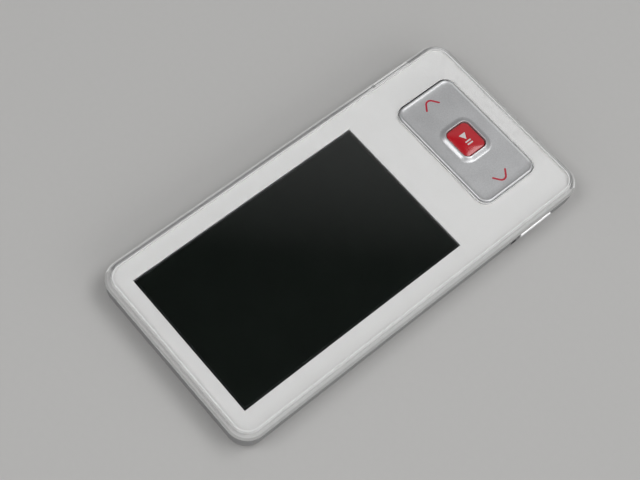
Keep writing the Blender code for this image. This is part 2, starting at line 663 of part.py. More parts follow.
def key_post(side):
    """Carries one wing of the key board."""
    bottom = KEY_BOARD_TOP_Z + SEAT
    length = FRAME_Z + OVERLAP - bottom
    at = (side * KEY_POST_X, KEY_POST_Y, bottom + length / 2)
    return helper_rod(f"key_post_{side:+d}", KEY_POST_RADIUS, length, at)


def front_frame():
    bm = block_mesh((FACE_WIDTH, FACE_LENGTH, FRAME_THICKNESS), FACE_CORNER)
    frame = add_part("front_frame", bm, (0.0, 0.0, FRAME_Z), white_plastic)
    window_size = (WINDOW_WIDTH, WINDOW_LENGTH, FRAME_THICKNESS + 2 * PAST)
    window = helper_block("window", window_size, (0.0, WINDOW_Y, FRAME_Z - PAST))
    join(frame, frame_skirt(), solver="MANIFOLD")
    for side in (-1, 1):
        pieces = (screen_rib(side), key_post(side), side_screw_boss(side), snap(side))
        join(frame, *pieces, solver="MANIFOLD")
    cut(frame, window, key_opening, jack_space, usb_space)
    for side in (-1, 1):
        post_hole_at = (side * KEY_POST_X, KEY_POST_Y, KEY_BOARD_TOP_Z + SEAT)
        post_hole = helper_rod(
            f"key_post_hole_{side:+d}", BOARD_SCREW_SHANK / 2 + SEAT, 2 * BOARD_SCREW_BITE, post_hole_at
        )
        screw_at = (side * SKIRT_WIDTH / 2, SIDE_SCREW_Y, SIDE_SCREW_Z)
        screw_radius = SIDE_SCREW_SHANK / 2 + SEAT
        screw_hole = helper_rod(
            f"side_screw_hole_{side:+d}", screw_radius, 2 * SIDE_SCREW_LENGTH - FIT, screw_at, "X"
        )
        cut(frame, side_flange_room(side), post_hole, screw_hole)


def rear_cover():
    bm = block_mesh((SHELL_WIDTH, SHELL_LENGTH, SHELL_TOP_Z), SHELL_CORNER)
    soften(bm, 0.0, SHELL_ROUND, ROUND_STEPS)
    cover = add_part("rear_cover", bm, (0.0, 0.0, 0.0), grey_paint)
    inside = block_mesh((INSIDE_WIDTH, INSIDE_LENGTH, SHELL_TOP_Z), INSIDE_CORNER)
    soften(inside, 0.0, SHELL_ROUND - SHELL_WALL, ROUND_STEPS)
    cut(cover, add_helper("rear_inside", inside, (0.0, 0.0, SHELL_FLOOR)))
    for number, (x, y) in enumerate(board_screw_places(), 1):
        top = MAIN_BOARD_Z - SEAT
        length = top - SHELL_FLOOR + OVERLAP
        boss = helper_rod(f"board_boss_{number}", BOARD_BOSS_RADIUS, length, (x, y, top - length / 2))
        hole_radius = BOARD_SCREW_SHANK / 2 + SEAT
        hole = helper_rod(
            f"board_boss_hole_{number}", hole_radius, 2 * BOARD_SCREW_BITE, (x, y, MAIN_BOARD_Z)
        )
        join(cover, boss)
        cut(cover, hole)
    join(cover, *battery_ribs())
    cut(cover, *socket_mouths())
    for side in (-1, 1):
        head_at = (side * (SIDE_SCREW_SEAT_X + PAST / 2), SIDE_SCREW_Y, SIDE_SCREW_Z)
        head = helper_rod(f"screw_recess_{side:+d}", SIDE_SCREW_HEAD / 2 + FIT, PAST, head_at, "X")
        shank_at = (side * SIDE_SCREW_SEAT_X, SIDE_SCREW_Y, SIDE_SCREW_Z)
        shank = helper_rod(f"screw_way_{side:+d}", SIDE_SCREW_SHANK / 2 + SEAT, 2 * PAST, shank_at, "X")
        cut(cover, side_notch(side), head, shank, snap_pocket(side))


def keypad_plate():
    """A rocker with a rolled lip, a dished face and a soft bump round the centre button."""
    hole_width = BUTTON_WIDTH / 2 + FIT
    hole_length = BUTTON_LENGTH / 2 + FIT
    hole_corner = BUTTON_CORNER + FIT
    room = BUTTON_FLANGE_WIDTH
    ledge_z = KEY_DISH_Z - KEY_FLANGE_THICKNESS
    levels = [
        (FLANGE_HALF_WIDTH, FLANGE_HALF_LENGTH, KEY_CORNER + KEY_FLANGE_WIDTH, FLANGE_Z),
        (FLANGE_HALF_WIDTH, FLANGE_HALF_LENGTH, KEY_CORNER + KEY_FLANGE_WIDTH, FLANGE_TOP_Z),
        (KEY_HALF_WIDTH, KEY_HALF_LENGTH, KEY_CORNER, FLANGE_TOP_Z),
        (KEY_HALF_WIDTH, KEY_HALF_LENGTH, KEY_CORNER, KEY_DISH_Z),
    ]
    for inset, depth in KEY_LIP_PROFILE:
        corner = max(KEY_CORNER - inset, hole_corner)
        levels.append(
            (KEY_HALF_WIDTH - inset, KEY_HALF_LENGTH - inset, corner, KEY_LIP_Z - depth * KEY_DISH_DEPTH)
        )
    for spread, rise in KEY_PILLOW_PROFILE:
        out = spread * KEY_PILLOW_SPREAD
        levels.append(
            (hole_width + out, hole_length + out, hole_corner + out, KEY_DISH_Z + rise * KEY_PILLOW_RISE)
        )
    levels += [
        (hole_width, hole_length, hole_corner, KEY_PILLOW_Z - FIT / 3),
        (hole_width, hole_length, hole_corner, ledge_z),
        (hole_width + room, hole_length + room, hole_corner + room, ledge_z),
        (hole_width + room, hole_length + room, hole_corner + room, FLANGE_Z),
    ]
    pivot = (0.0, KEY_Y, KEY_PIVOT_Z)
    rings = [ring(x, y, corner, z - KEY_PIVOT_Z) for x, y, corner, z in levels]
    add_part("keypad_plate", loft_mesh(rings, has_hole=True), pivot, satin_silver)


def centre_button():
    """A cap with a slightly domed face, a flange that keeps it in the rocker, and a stem."""
    half_width = BUTTON_WIDTH / 2
    half_length = BUTTON_LENGTH / 2
    ledge_z = KEY_DISH_Z - KEY_FLANGE_THICKNESS
    flange_top_z = ledge_z - FIT
    flange_z = flange_top_z - BUTTON_FLANGE_THICKNESS
    wide = BUTTON_FLANGE_WIDTH - FIT + SEAT
    stem = BUTTON_STEM / 2
    edge_z = KEY_PILLOW_Z - SEAT
    levels = [
        (stem, stem, stem / 3, FLANGE_Z),
        (stem, stem, stem / 3, flange_z),
        (half_width + wide, half_length + wide, BUTTON_CORNER + wide, flange_z),
        (half_width + wide, half_length + wide, BUTTON_CORNER + wide, flange_top_z),
        (half_width, half_length, BUTTON_CORNER, flange_top_z),
        (half_width, half_length, BUTTON_CORNER, edge_z),
    ]
    for inset, rise in BUTTON_DOME_PROFILE:
        corner = max(BUTTON_CORNER - inset, BUTTON_CORNER / 3)
        levels.append((half_width - inset, half_length - inset, corner, edge_z + rise * BUTTON_DOME))
    rings = [ring(x, y, corner, z - FLANGE_Z) for x, y, corner, z in levels]
    add_part("centre_button", loft_mesh(rings, has_hole=False), (0.0, KEY_Y, FLANGE_Z), red_gloss)


def side_button(name, side):
    """A chrome bar that stands out under the clear rim, with a flange behind the rear cover's wall."""
    depth = SIDE_FACE_X - SIDE_FLANGE_X
    bm = block_mesh((SIDE_BUTTON_HEIGHT, SIDE_BUTTON_LENGTH, depth), SIDE_BUTTON_HEIGHT / 4)
    soften(bm, depth, SIDE_BUTTON_PROUD / 2, 3)
    middle_z = SIDE_Z + SIDE_BUTTON_HEIGHT / 2
    bar = add_part(name, bm, (side * SIDE_FLANGE_X, SIDE_Y, middle_z), bright_chrome)
    bar.rotation_euler = (0.0, side * math.pi / 2, 0.0)
    flange_size = (SIDE_FLANGE_THICKNESS, SIDE_BUTTON_LENGTH, SIDE_BUTTON_HEIGHT + SIDE_FLANGE_DROP)
    flange_at = (side * SIDE_FLANGE_X, SIDE_Y, SIDE_Z - SIDE_FLANGE_DROP)
    join(bar, helper_block(f"{name}_flange", flange_size, flange_at))


def side_switch(name, side, y, travel):
    """A tact switch whose nub the flange reaches at the end of the button's travel."""
    body_at = (side * SWITCH_X, y, KEY_BOARD_TOP_Z + BOND)
    body = add_part(name, block_mesh(SWITCH_BODY), body_at, steel)
    nub_x = SIDE_FLANGE_BACK_X - travel - PRESS_MARGIN
    nub_length = nub_x - SWITCH_X
    nub_size = (nub_length, SWITCH_NUB_WIDTH, SWITCH_BODY[2] / 2)
    nub_at = (side * (nub_x - nub_length / 2), y, KEY_BOARD_TOP_Z + BOND + SWITCH_BODY[2] / 4)
    join(body, helper_block(f"{name}_nub", nub_size, nub_at))


def display_module():
    rear_at = (0.0, GLASS_Y, GLASS_Z)
    rear_size = (GLASS_WIDTH, GLASS_LENGTH, REAR_GLASS)
    panel = add_part("lcd_panel", block_mesh(rear_size), rear_at, screen_black)
    front_size = (WINDOW_WIDTH - 2 * FIT, WINDOW_LENGTH - 2 * FIT, FRONT_GLASS + OVERLAP)
    front_at = (0.0, WINDOW_Y, GLASS_STEP_Z - OVERLAP)
    join(panel, helper_block("front_glass", front_size, front_at))

    gasket_size = (GLASS_WIDTH, WINDOW_LENGTH + 2 * GLASS_BORDER, GASKET_THICKNESS)
    gasket = add_part("lcd_gasket", block_mesh(gasket_size), (0.0, WINDOW_Y, GASKET_Z), soft_rubber)
    gasket_hole = (WINDOW_WIDTH, WINDOW_LENGTH, GASKET_THICKNESS + 2 * PAST)
    cut(gasket, helper_block("gasket_hole", gasket_hole, (0.0, WINDOW_Y, GASKET_Z - PAST)))

    light_size = (GLASS_WIDTH, GLASS_LENGTH, BACKLIGHT_THICKNESS)
    add_part("lcd_backlight", block_mesh(light_size), (0.0, GLASS_Y, BACKLIGHT_Z), white_plastic)

    tray_height = GLASS_STEP_Z - TRAY_Z
    tray_size = (TRAY_WIDTH, TRAY_LENGTH, tray_height)
    tray = add_part("lcd_tray", block_mesh(tray_size), (0.0, GLASS_Y, TRAY_Z), steel)
    room_size = (GLASS_WIDTH + 2 * BOND, GLASS_LENGTH + 2 * BOND, tray_height + PAST)
    cut(tray, helper_block("tray_room", room_size, (0.0, GLASS_Y, TRAY_Z + TRAY_SHEET)))


def ease(start_y, end_y, start_z, end_z, steps):
    """Points of a soft step in height that starts and ends level."""
    points = []
    for step in range(steps + 1):
        share = step / steps
        climb = share * share * (3 - 2 * share)
        points.append((start_y + share * (end_y - start_y), start_z + climb * (end_z - start_z)))
    return points


def lcd_flex():
    """A ribbon from the rear glass's ledge, over the tray's end and down into its connector."""
    flat_z = GLASS_STEP_Z + BOND + FLEX_THICKNESS / 2
    start_y = WINDOW_TOP_Y + GLASS_BORDER + FIT
    end_y = LCD_CONNECTOR_FRONT_Y - FIT
    path = [(start_y, flat_z)]
    path += ease(TRAY_END_Y, end_y, flat_z, LCD_SLOT_Z, 12)
    path.append((LCD_CONNECTOR_FRONT_Y + LCD_SLOT_DEPTH - FIT, LCD_SLOT_Z))
    bm = bmesh.new()
    line = [bm.verts.new((-FLEX_WIDTH / 2, y, z)) for y, z in path]
    edges = [bm.edges.new(pair) for pair in zip(line, line[1:])]
    swept = bmesh.ops.extrude_edge_only(bm, edges=edges)["geom"]
    moved = [item for item in swept if isinstance(item, bmesh.types.BMVert)]
    bmesh.ops.translate(bm, vec=(FLEX_WIDTH, 0.0, 0.0), verts=moved)
    ribbon = add_part("lcd_flex", bm, (0.0, 0.0, 0.0), amber_film)
    sheet = ribbon.modifiers.new("sheet", "SOLIDIFY")
    sheet.thickness = FLEX_THICKNESS
    sheet.offset = 0.0


def battery():
    bm = block_mesh((BATTERY_WIDTH, BATTERY_LENGTH, BATTERY_THICKNESS), BATTERY_CORNER)
    soften(bm, 0.0, BATTERY_ROUND, 3)
    soften(bm, BATTERY_THICKNESS, BATTERY_ROUND, 3)
    cell = add_part("battery_cell", bm, (0.0, BATTERY_Y, BATTERY_Z), foil)
    tucked = BATTERY_ROUND + OVERLAP
    tab_size = (BATTERY_TAB[0], BATTERY_TAB[1] + tucked, BATTERY_TAB[2])
    tab_y = BATTERY_Y + BATTERY_LENGTH / 2 - tucked + tab_size[1] / 2
    join(cell, helper_block("battery_tab", tab_size, (0.0, tab_y, BATTERY_Z + BATTERY_TAB_LIFT)))
    add_part("battery_guard_board", block_mesh(GUARD_BOARD), (0.0, GUARD_Y, GUARD_Z), green_board)


def battery_lead(name, x, material):
    """A short insulated wire from the guard board into the connector on the main board."""
    start_y = GUARD_Y + GUARD_BOARD[1] / 2 + BOND
    start_z = GUARD_Z + GUARD_BOARD[2] / 2
    path = ease(start_y, BATTERY_CONNECTOR_FRONT_Y - FIT, start_z, BATTERY_LEAD_Z, 8)
    path.append((BATTERY_CONNECTOR_FRONT_Y + BATTERY_LEAD_DEPTH - FIT, BATTERY_LEAD_Z))
    curve = bpy.data.curves.new(name, "CURVE")
    curve.dimensions = "3D"
    curve.bevel_depth = LEAD_RADIUS
    curve.bevel_resolution = 2
    curve.use_fill_caps = True
    spline = curve.splines.new("POLY")
    spline.points.add(len(path) - 1)
    for point, (y, z) in zip(spline.points, path):
        point.co = (x, y, z, 1.0)
    curve.materials.append(material)
    lead = bpy.data.objects.new(name, curve)
    parts.objects.link(lead)
    lead.parent = player


def keypad_stack():
    """The mat, the domes and the key board under the keypad."""
    mat_width = 2 * (KEY_PRESS_SPAN + DOME_RADIUS + FIT)
    mat_bm = block_mesh((mat_width, MAT_LENGTH, MAT_SHEET), MAT_LENGTH / 6)
    mat = add_part("keypad_mat", mat_bm, (0.0, KEY_Y, MAT_Z), soft_rubber)
    for name, x in (("dome_up", -KEY_PRESS_SPAN), ("dome_select", 0.0), ("dome_down", KEY_PRESS_SPAN)):
        length = PLUNGER_HEIGHT + MAT_SHEET / 2
        plunger_at = (x, KEY_Y, PLUNGER_TOP_Z - length / 2)
        join(mat, helper_rod(f"{name}_plunger", PLUNGER_RADIUS, length, plunger_at))
        profile = [(0.0, DOME_HEIGHT)]
        for step in range(1, 6):
            share = step / 6
            profile.append((share * DOME_RADIUS, DOME_HEIGHT * (1 - share * share)))
        profile += [(DOME_RADIUS, DOME_HEIGHT / 6), (DOME_RADIUS, 0.0), (0.0, 0.0)]
        add_turned(name, profile, (x, KEY_Y, DOME_Z), steel)

    board_size = (mat_width, KEY_BOARD_LENGTH, KEY_BOARD_THICKNESS)
    board = add_part("key_board", block_mesh(board_size), (0.0, KEY_Y, KEY_BOARD_Z), green_board)
    wing_size = (2 * KEY_WING_HALF_WIDTH, KEY_WING_LENGTH, KEY_BOARD_THICKNESS)
    join(board, helper_block("key_wings", wing_size, (0.0, KEY_WING_Y, KEY_BOARD_Z)))
    cut(board, jack_space, usb_space)
    shank_radius = BOARD_SCREW_SHANK / 2
    for number, side in enumerate((-1, 1), 1):
        x = side * KEY_POST_X
        hole_at = (x, KEY_POST_Y, KEY_BOARD_Z)
        cut(board, helper_rod(f"key_board_hole_{number}", shank_radius + SEAT, 2 * PAST, hole_at))
        length = KEY_BOARD_THICKNESS + BOARD_SCREW_BITE - SEAT
        profile = screw_profile(BOARD_SCREW_HEAD, BOARD_SCREW_HEAD_DEPTH, BOARD_SCREW_SHANK, length)
        screw_at = (x, KEY_POST_Y, KEY_BOARD_Z - BOND)
        add_turned(f"key_board_screw_{number}", profile, screw_at, steel, (math.pi, 0.0, 0.0))


def main_board():
    size = (MAIN_BOARD_WIDTH, MAIN_BOARD_BACK_Y - MAIN_BOARD_FRONT_Y, MAIN_BOARD_THICKNESS)
    board = add_part(
        "main_board", block_mesh(size, INSIDE_CORNER / 2), (0.0, MAIN_BOARD_Y, MAIN_BOARD_Z), green_board
    )
    cut(board, jack_space, usb_space)
    for number, (x, y) in enumerate(board_screw_places(), 1):
        hole = helper_rod(
            f"board_hole_{number}", BOARD_SCREW_SHANK / 2 + SEAT, 2 * PAST, (x, y, MAIN_BOARD_Z)
        )
        cut(board, hole)
        length = MAIN_BOARD_THICKNESS + BOND + BOARD_SCREW_BITE - SEAT
        profile = screw_profile(BOARD_SCREW_HEAD, BOARD_SCREW_HEAD_DEPTH, BOARD_SCREW_SHANK, length)
        add_turned(f"board_screw_{number}", profile, (x, y, MAIN_BOARD_TOP_Z + BOND), steel)
    board_piece("key_connector", KEY_CONNECTOR, (0.0, KEY_Y), white_plastic)
    for name, piece_size, (side, inset, along), material in (
        ("processor", PROCESSOR, PROCESSOR_AT, chip_black),
        ("memory_chip_1", MEMORY_1, MEMORY_1_AT, chip_black),
        ("memory_chip_2", MEMORY_2, MEMORY_2_AT, chip_black),
        ("power_chip", POWER_CHIP, POWER_CHIP_AT, chip_black),
        ("audio_codec", AUDIO_CODEC, AUDIO_CODEC_AT, chip_black),
    ):
        board_piece(name, piece_size, board_place(side, inset, along), material)
    crystal = block_mesh(CRYSTAL, CRYSTAL[1] / 4)
    soften(crystal, CRYSTAL[2], CRYSTAL_ROUND, 2)
    add_part("crystal", crystal, (*board_place(*CRYSTAL_AT), MAIN_BOARD_TOP_Z + BOND), steel)
    coil = (
        (0.0, COIL_HEIGHT),
        (COIL_RADIUS, COIL_HEIGHT),
        (COIL_RADIUS, COIL_HEIGHT - COIL_FLANGE),
        (COIL_WAIST, COIL_HEIGHT - COIL_FLANGE),
        (COIL_WAIST, COIL_FLANGE),
        (COIL_RADIUS, COIL_FLANGE),
        (COIL_RADIUS, 0.0),
        (0.0, 0.0),
    )
    add_turned("power_coil", coil, (*board_place(*POWER_COIL_AT), MAIN_BOARD_TOP_Z + BOND), chip_black)


def board_place(side, inset, along):
    return side * (MAIN_BOARD_WIDTH / 2 - inset), KEY_Y + along


def board_piece(name, size, place, material):
    return add_part(name, block_mesh(size), (*place, MAIN_BOARD_TOP_Z + BOND), material)


def lcd_connector():
    """A low socket with a slot that the ribbon goes into."""
    width = FLEX_WIDTH + 2 * (FIT + LCD_CONNECTOR_CHEEK)
    size = (width, LCD_CONNECTOR_LENGTH, LCD_CONNECTOR_HEIGHT)
    socket = board_piece("lcd_connector", size, (0.0, LCD_CONNECTOR_Y), white_plastic)
    slot_size = (FLEX_WIDTH + 2 * FIT, LCD_SLOT_DEPTH + PAST, FLEX_THICKNESS + 2 * BOND)
    slot_y = LCD_CONNECTOR_FRONT_Y + LCD_SLOT_DEPTH - slot_size[1] / 2
    cut(socket, helper_block("lcd_slot", slot_size, (0.0, slot_y, LCD_SLOT_Z - slot_size[2] / 2)))


def battery_connector():
    """A small socket with a hole for each lead."""
    place = (BATTERY_CONNECTOR_X, BATTERY_CONNECTOR_Y)
    socket = board_piece("battery_connector", BATTERY_CONNECTOR, place, white_plastic)
    for side in (-1, 1):
        hole_at = (BATTERY_CONNECTOR_X + side * LEAD_SPACING / 2, BATTERY_CONNECTOR_FRONT_Y, BATTERY_LEAD_Z)
        hole_radius = LEAD_RADIUS + BOND
        cut(socket, helper_rod(f"lead_hole_{side:+d}", hole_radius, 2 * BATTERY_LEAD_DEPTH, hole_at, "Y"))


def earphone_jack():
    bm = block_mesh(JACK_BODY)
    jack = add_part("earphone_jack", bm, (JACK_X, JACK_Y, SOCKET_Z), chip_black)
    collar_length = JACK_COLLAR_LENGTH + OVERLAP
    collar_at = (JACK_X, SOCKET_FACE_Y - collar_length / 2, JACK_AXIS_Z)
    join(jack, helper_rod("jack_collar", JACK_COLLAR_RADIUS, collar_length, collar_at, "Y"))
    bore_y = SOCKET_FACE_Y + PAST - (JACK_BORE_DEPTH + PAST) / 2
    bore_length = JACK_BORE_DEPTH + PAST
    cut(jack, helper_rod("jack_bore", JACK_BORE_RADIUS, bore_length, (JACK_X, bore_y, JACK_AXIS_Z), "Y"))


def usb_socket():
    shell = add_part("usb_socket", usb_mesh(USB_SHELL), (0.0, USB_Y, SOCKET_Z), steel)
    mouth_size = (USB_SHELL[0] - 2 * USB_SHEET, USB_DEPTH + PAST, USB_SHELL[2] - 2 * USB_SHEET)
    mouth_y = SOCKET_FACE_Y + PAST - mouth_size[1] / 2
    cut(shell, add_helper("usb_mouth_room", usb_mesh(mouth_size), (0.0, mouth_y, SOCKET_Z + USB_SHEET)))
    tongue_y = SOCKET_FACE_Y - USB_DEPTH - OVERLAP + USB_TONGUE[1] / 2
    tongue_z = SOCKET_Z + (USB_SHELL[2] - USB_TONGUE[2]) / 2
    join(shell, helper_block("usb_tongue", USB_TONGUE, (0.0, tongue_y, tongue_z)))


def side_screws():
    profile = screw_profile(SIDE_SCREW_HEAD, SIDE_SCREW_HEAD_DEPTH, SIDE_SCREW_SHANK, SIDE_SCREW_LENGTH)
    for name, side in (("side_screw_left", -1), ("side_screw_right", 1)):
        at = (side * (SIDE_SCREW_SEAT_X + BOND), SIDE_SCREW_Y, SIDE_SCREW_Z)
        add_turned(name, profile, at, steel, (0.0, side * math.pi / 2, 0.0))


clear_scene()
parts = new_collection("Digital audio player")
helpers = new_collection("Cutters")
player = bpy.data.objects.new("player", None)
parts.objects.link(player)

clear_acrylic = finish("clear acrylic", WHITE, 0.03, clear=1.0)
white_plastic = finish("white plastic", WHITE, 0.35)
satin_silver = finish("satin silver", SILVER, 0.38, metallic=0.8)
grey_paint = finish("grey metallic paint", SHELL_GREY, 0.42, metallic=0.6)
bright_chrome = finish("chrome", CHROME, 0.06, metallic=1.0)
red_gloss = finish("red gloss plastic", BUTTON_RED, 0.10)
screen_black = finish("screen glass", SCREEN_BLACK, 0.05)
steel = finish("steel", STEEL, 0.30, metallic=1.0)
green_board = finish("circuit board", BOARD_GREEN, 0.45)
chip_black = finish("chip plastic", CHIP_BLACK, 0.50)
soft_rubber = finish("silicone rubber", RUBBER_GREY, 0.70)
foil = finish("battery foil", FOIL_GREY, 0.35, metallic=0.7)
amber_film = finish("amber film", FLEX_AMBER, 0.40)
lead_red_skin = finish("red insulation", LEAD_RED, 0.50)
lead_black_skin = finish("black insulation", CHIP_BLACK, 0.50)

key_opening_size = (KEY_OPENING_WIDTH, KEY_OPENING_LENGTH, COVER_TOP_Z - FRAME_Z + 2 * PAST)
key_opening_at = (0.0, KEY_Y, FRAME_Z - PAST)
key_opening = helper_block("key_opening", key_opening_size, key_opening_at, KEY_OPENING_CORNER)
jack_space = jack_room()
usb_space = usb_room()

front_cover()
front_frame()
rear_cover()
keypad_plate()
centre_button()
side_button("power_button", 1)
side_button("volume_rocker", -1)
side_screws()
keypad_stack()
side_switch("power_switch", 1, SIDE_Y, POWER_TRAVEL)
side_switch("volume_up_switch", -1, SIDE_Y + VOLUME_SWITCH_SPAN, VOLUME_TRAVEL)
side_switch("volume_down_switch", -1, SIDE_Y - VOLUME_SWITCH_SPAN, VOLUME_TRAVEL)
display_module()
lcd_flex()
battery()
battery_lead("battery_lead_red", BATTERY_CONNECTOR_X + LEAD_SPACING / 2, lead_red_skin)
battery_lead("battery_lead_black", BATTERY_CONNECTOR_X - LEAD_SPACING / 2, lead_black_skin)
main_board()
lcd_connector()
battery_connector()
earphone_jack()
usb_socket()
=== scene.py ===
"""Looks of a pocket audio player: clear cover, white face, screen, silver keypad, red button, grey back.

The sizes below are in millimetres, in the model's own frame: X across the case, Y along it
towards the keypad, Z up out of the screen.
"""

import json
import math

import bmesh
import bpy
from mathutils import Matrix, Vector


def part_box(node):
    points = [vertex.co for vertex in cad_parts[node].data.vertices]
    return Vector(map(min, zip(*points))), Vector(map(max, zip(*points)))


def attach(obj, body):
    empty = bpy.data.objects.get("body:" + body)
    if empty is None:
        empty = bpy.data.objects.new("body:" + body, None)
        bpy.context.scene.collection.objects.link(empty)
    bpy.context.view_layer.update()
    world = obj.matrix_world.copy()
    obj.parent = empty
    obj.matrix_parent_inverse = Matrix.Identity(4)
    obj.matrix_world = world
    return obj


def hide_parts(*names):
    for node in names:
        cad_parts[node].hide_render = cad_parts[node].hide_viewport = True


MM = 0.001

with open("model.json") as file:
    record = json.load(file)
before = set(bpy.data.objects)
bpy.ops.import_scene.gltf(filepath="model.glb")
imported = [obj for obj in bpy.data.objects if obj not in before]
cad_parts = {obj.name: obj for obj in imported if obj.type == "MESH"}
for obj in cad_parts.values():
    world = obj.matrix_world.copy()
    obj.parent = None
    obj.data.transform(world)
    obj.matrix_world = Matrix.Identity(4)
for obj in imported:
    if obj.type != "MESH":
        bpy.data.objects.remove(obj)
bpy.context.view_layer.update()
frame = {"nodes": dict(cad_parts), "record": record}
nodes = frame["nodes"]


def node_box(name):
    """The lowest and the highest corner of a CAD node, in millimetres."""
    return [[round(part / MM, 3) for part in corner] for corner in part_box(name)]


def span(box, axis):
    """Middle and half length of a box along one axis."""
    low, high = [corner[axis] for corner in box]
    return round((low + high) / 2, 3), round((high - low) / 2, 3)


cover_box = node_box("front_cover")
back_box = node_box("rear_cover")
key_box = node_box("keypad_plate")
bar_box = node_box("power_button")
screw_box = node_box("side_screw_right")
jack_box = node_box("earphone_jack")
usb_box = node_box("usb_socket")

# The case, from the clear cover down
CASE_HALF_WIDTH, CASE_HALF_LENGTH, COVER_TOP = cover_box[1]
CASE_CORNER = 5.4
CASE_OUTLINE = (CASE_HALF_WIDTH, CASE_HALF_LENGTH, CASE_CORNER)
COVER_UNDER = 7.2
COVER_RIM_FOOT = cover_box[0][2]
COVER_LOWER_BEVEL = (0.0, 6.55)
COVER_BEVEL_BREAK = (0.8, 7.8)
COVER_UPPER_BEVEL = (1.5, COVER_TOP)
COVER_POCKET_INSET = 1.68
BORDER_INSET = 1.66
BORDER_WIDTH = 0.3
BORDER_FOOT = 6.42
BORDER_TOP = 7.8
BORDER_ROUND = 0.08
BORDER_FACE_DEPTH = 0.05
RING_FOOT_ROUND = 0.02
BOND_INSET = 0.12
BOND_FOOT = 6.22
BOND_TOP = 6.41
BOND_ROUND = 0.03
BACK_INSET = 0.2
BACK_TOP = back_box[1][2]
BACK_WALL = 1.3
BACK_FLOOR = 1.0
BACK_ROUND = 3.2
BACK_SOFT_EDGE = 0.07
CUT_PAST = 2.0
# Where the bonding film carries painted highlights, painted shade and a painted reflection of the left bar
TOP_END_HIGHLIGHT_HALF_WIDTH = 17.0
BOND_LINE = 0.9
BOND_FAR_LINE = 1.3
HIGHLIGHT_STRIP_FADE = (20.0, 30.6)
BAR_REFLECTION_ROOM = 0.3

# The keypad and its red button
KEY_MIDDLE = span(key_box, 1)[0]
KEY_OPENING = (16.55, 9.15, 3.0)
KEY_OPENING_FLARE = 0.15
KEY_PLATE = (16.25, 8.85, 2.7)
KEY_FLANGE = 1.0
KEY_FLANGE_FOOT = key_box[0][2]
KEY_FLANGE_TOP = 5.884
KEY_FLANGE_ROUND = 0.08
KEY_UNDERSIDE = 3.0
KEY_LIP = 8.5
KEY_BEAD = 0.42
KEY_BEAD_DROP = 0.3
KEY_BEAD_SHARE = 0.65
KEY_BEAD_FADE = 0.2
KEY_DISH = 8.26
KEY_DISH_START = 2.4
KEY_PILLOW = key_box[1][2]
KEY_PILLOW_SPREAD = 1.6
KEY_PILLOW_LAND = 0.15
KEY_PILLOW_EDGE = 0.1
KEY_PILLOW_POWER = 1.25
KEY_PILLOW_LEAN = 0.35
KEY_LEDGE = 7.76
KEY_LEDGE_WIDTH = 0.6
BUTTON_HOLE = (4.3, 3.7, 1.7)
BUTTON_CAP = (4.0, 3.4, 1.4)
BUTTON_STEM = (1.5, 1.5, 0.5)
BUTTON_FLANGE = (4.5, 3.9, 1.9)
BUTTON_FLANGE_FOOT = 6.96
BUTTON_FLANGE_TOP = 7.46
BUTTON_EDGE = 8.42
BUTTON_DOME = 0.42
BUTTON_DOME_REACH = 3.35
BUTTON_DOME_POWER = 0.7
INK_RISE = 0.012

# The chrome bars on the long sides and the screws beside them
BAR_MIDDLE, BAR_HALF_LENGTH = span(bar_box, 1)
BAR_FLANGE_BACK, BAR_FACE = [corner[0] for corner in bar_box]
BAR_FLANGE_FRONT = 24.85
BAR_FLANGE_FOOT, BAR_TOP = [corner[2] for corner in bar_box]
BAR_FOOT = 4.7
BAR_FACE_ROUND = 0.4
BAR_CORNER = 0.45
BAR_ROOT = 0.3
SCREW_Y, SCREW_HEAD = span(screw_box, 1)
SCREW_Z = span(screw_box, 2)[0]
SCREW_TIP, SCREW_FACE = [corner[0] for corner in screw_box]
SCREW_SEAT = 25.65
SCREW_HEAD_DEPTH = 0.4
SCREW_HEAD_ROUND = 0.22
SCREW_RECESS = 0.9
SCREW_RECESS_MARGIN = 0.03
SCREW_SHANK = 0.35
SCREW_SHANK_ROOM = 0.2
CROSS_HALF_LENGTH = 0.38
CROSS_HALF_WIDTH = 0.09
CROSS_DEPTH = 0.22
CROSS_PAST = 0.2

# The sockets in the top end
SOCKET_FACE = jack_box[1][1]
SOCKET_FOOT = jack_box[0][2]
JACK_X = span(jack_box, 0)[0]
JACK_AXIS, JACK_COLLAR = span(jack_box, 2)
USB_HALF_WIDTH = usb_box[1][0]
USB_HEIGHT = round(usb_box[1][2] - usb_box[0][2], 3)
USB_CHAMFER = 0.9
SOCKET_CLEARANCE = 0.3

# The screen
SCREEN_MIDDLE = -15.175
PICTURE_HALF_WIDTH = 19.45
PICTURE_HALF_LENGTH = 32.4
PICTURE_HAIRLINE = 0.12

FLOOR_SIZE = 6000.0
FLOOR_GAP = 0.05
CORNER_STEPS = 20
EDGE_STEPS = 4
BEAD_STEPS = 6
PILLOW_STEPS = 12
LEAST_CORNER = 0.2
SMOOTH_ANGLE = math.radians(32)


def place_camera():
    across = Vector((0.65015, 0.75330, 0.09918))
    upward = Vector((-0.70563, 0.55023, 0.44646))
    behind = Vector((0.28175, -0.36025, 0.88929))
    spot = Vector((0.09134, -0.12640, 0.30060))
    turned = Matrix((across, upward, behind)).transposed().to_4x4()
    lens = bpy.data.cameras.new("camera")
    lens.sensor_width = 36.0
    lens.lens = 79.36
    lens.clip_start = 0.01
    camera = bpy.data.objects.new("camera", lens)
    camera.matrix_world = Matrix.Translation(spot) @ turned
    bpy.context.scene.collection.objects.link(camera)
    bpy.context.scene.camera = camera


def softbox(name, direction, distance, width, length, power):
    """A large lamp that looks at the player from a direction."""
    lamp = bpy.data.lights.new(name, "AREA")
    lamp.shape = "RECTANGLE"
    lamp.size = width
    lamp.size_y = length
    lamp.energy = power
    holder = bpy.data.objects.new(name, lamp)
    holder.location = Vector(direction).normalized() * distance
    holder.rotation_euler = Vector(direction).to_track_quat("Z", "Y").to_euler()
    bpy.context.scene.collection.objects.link(holder)


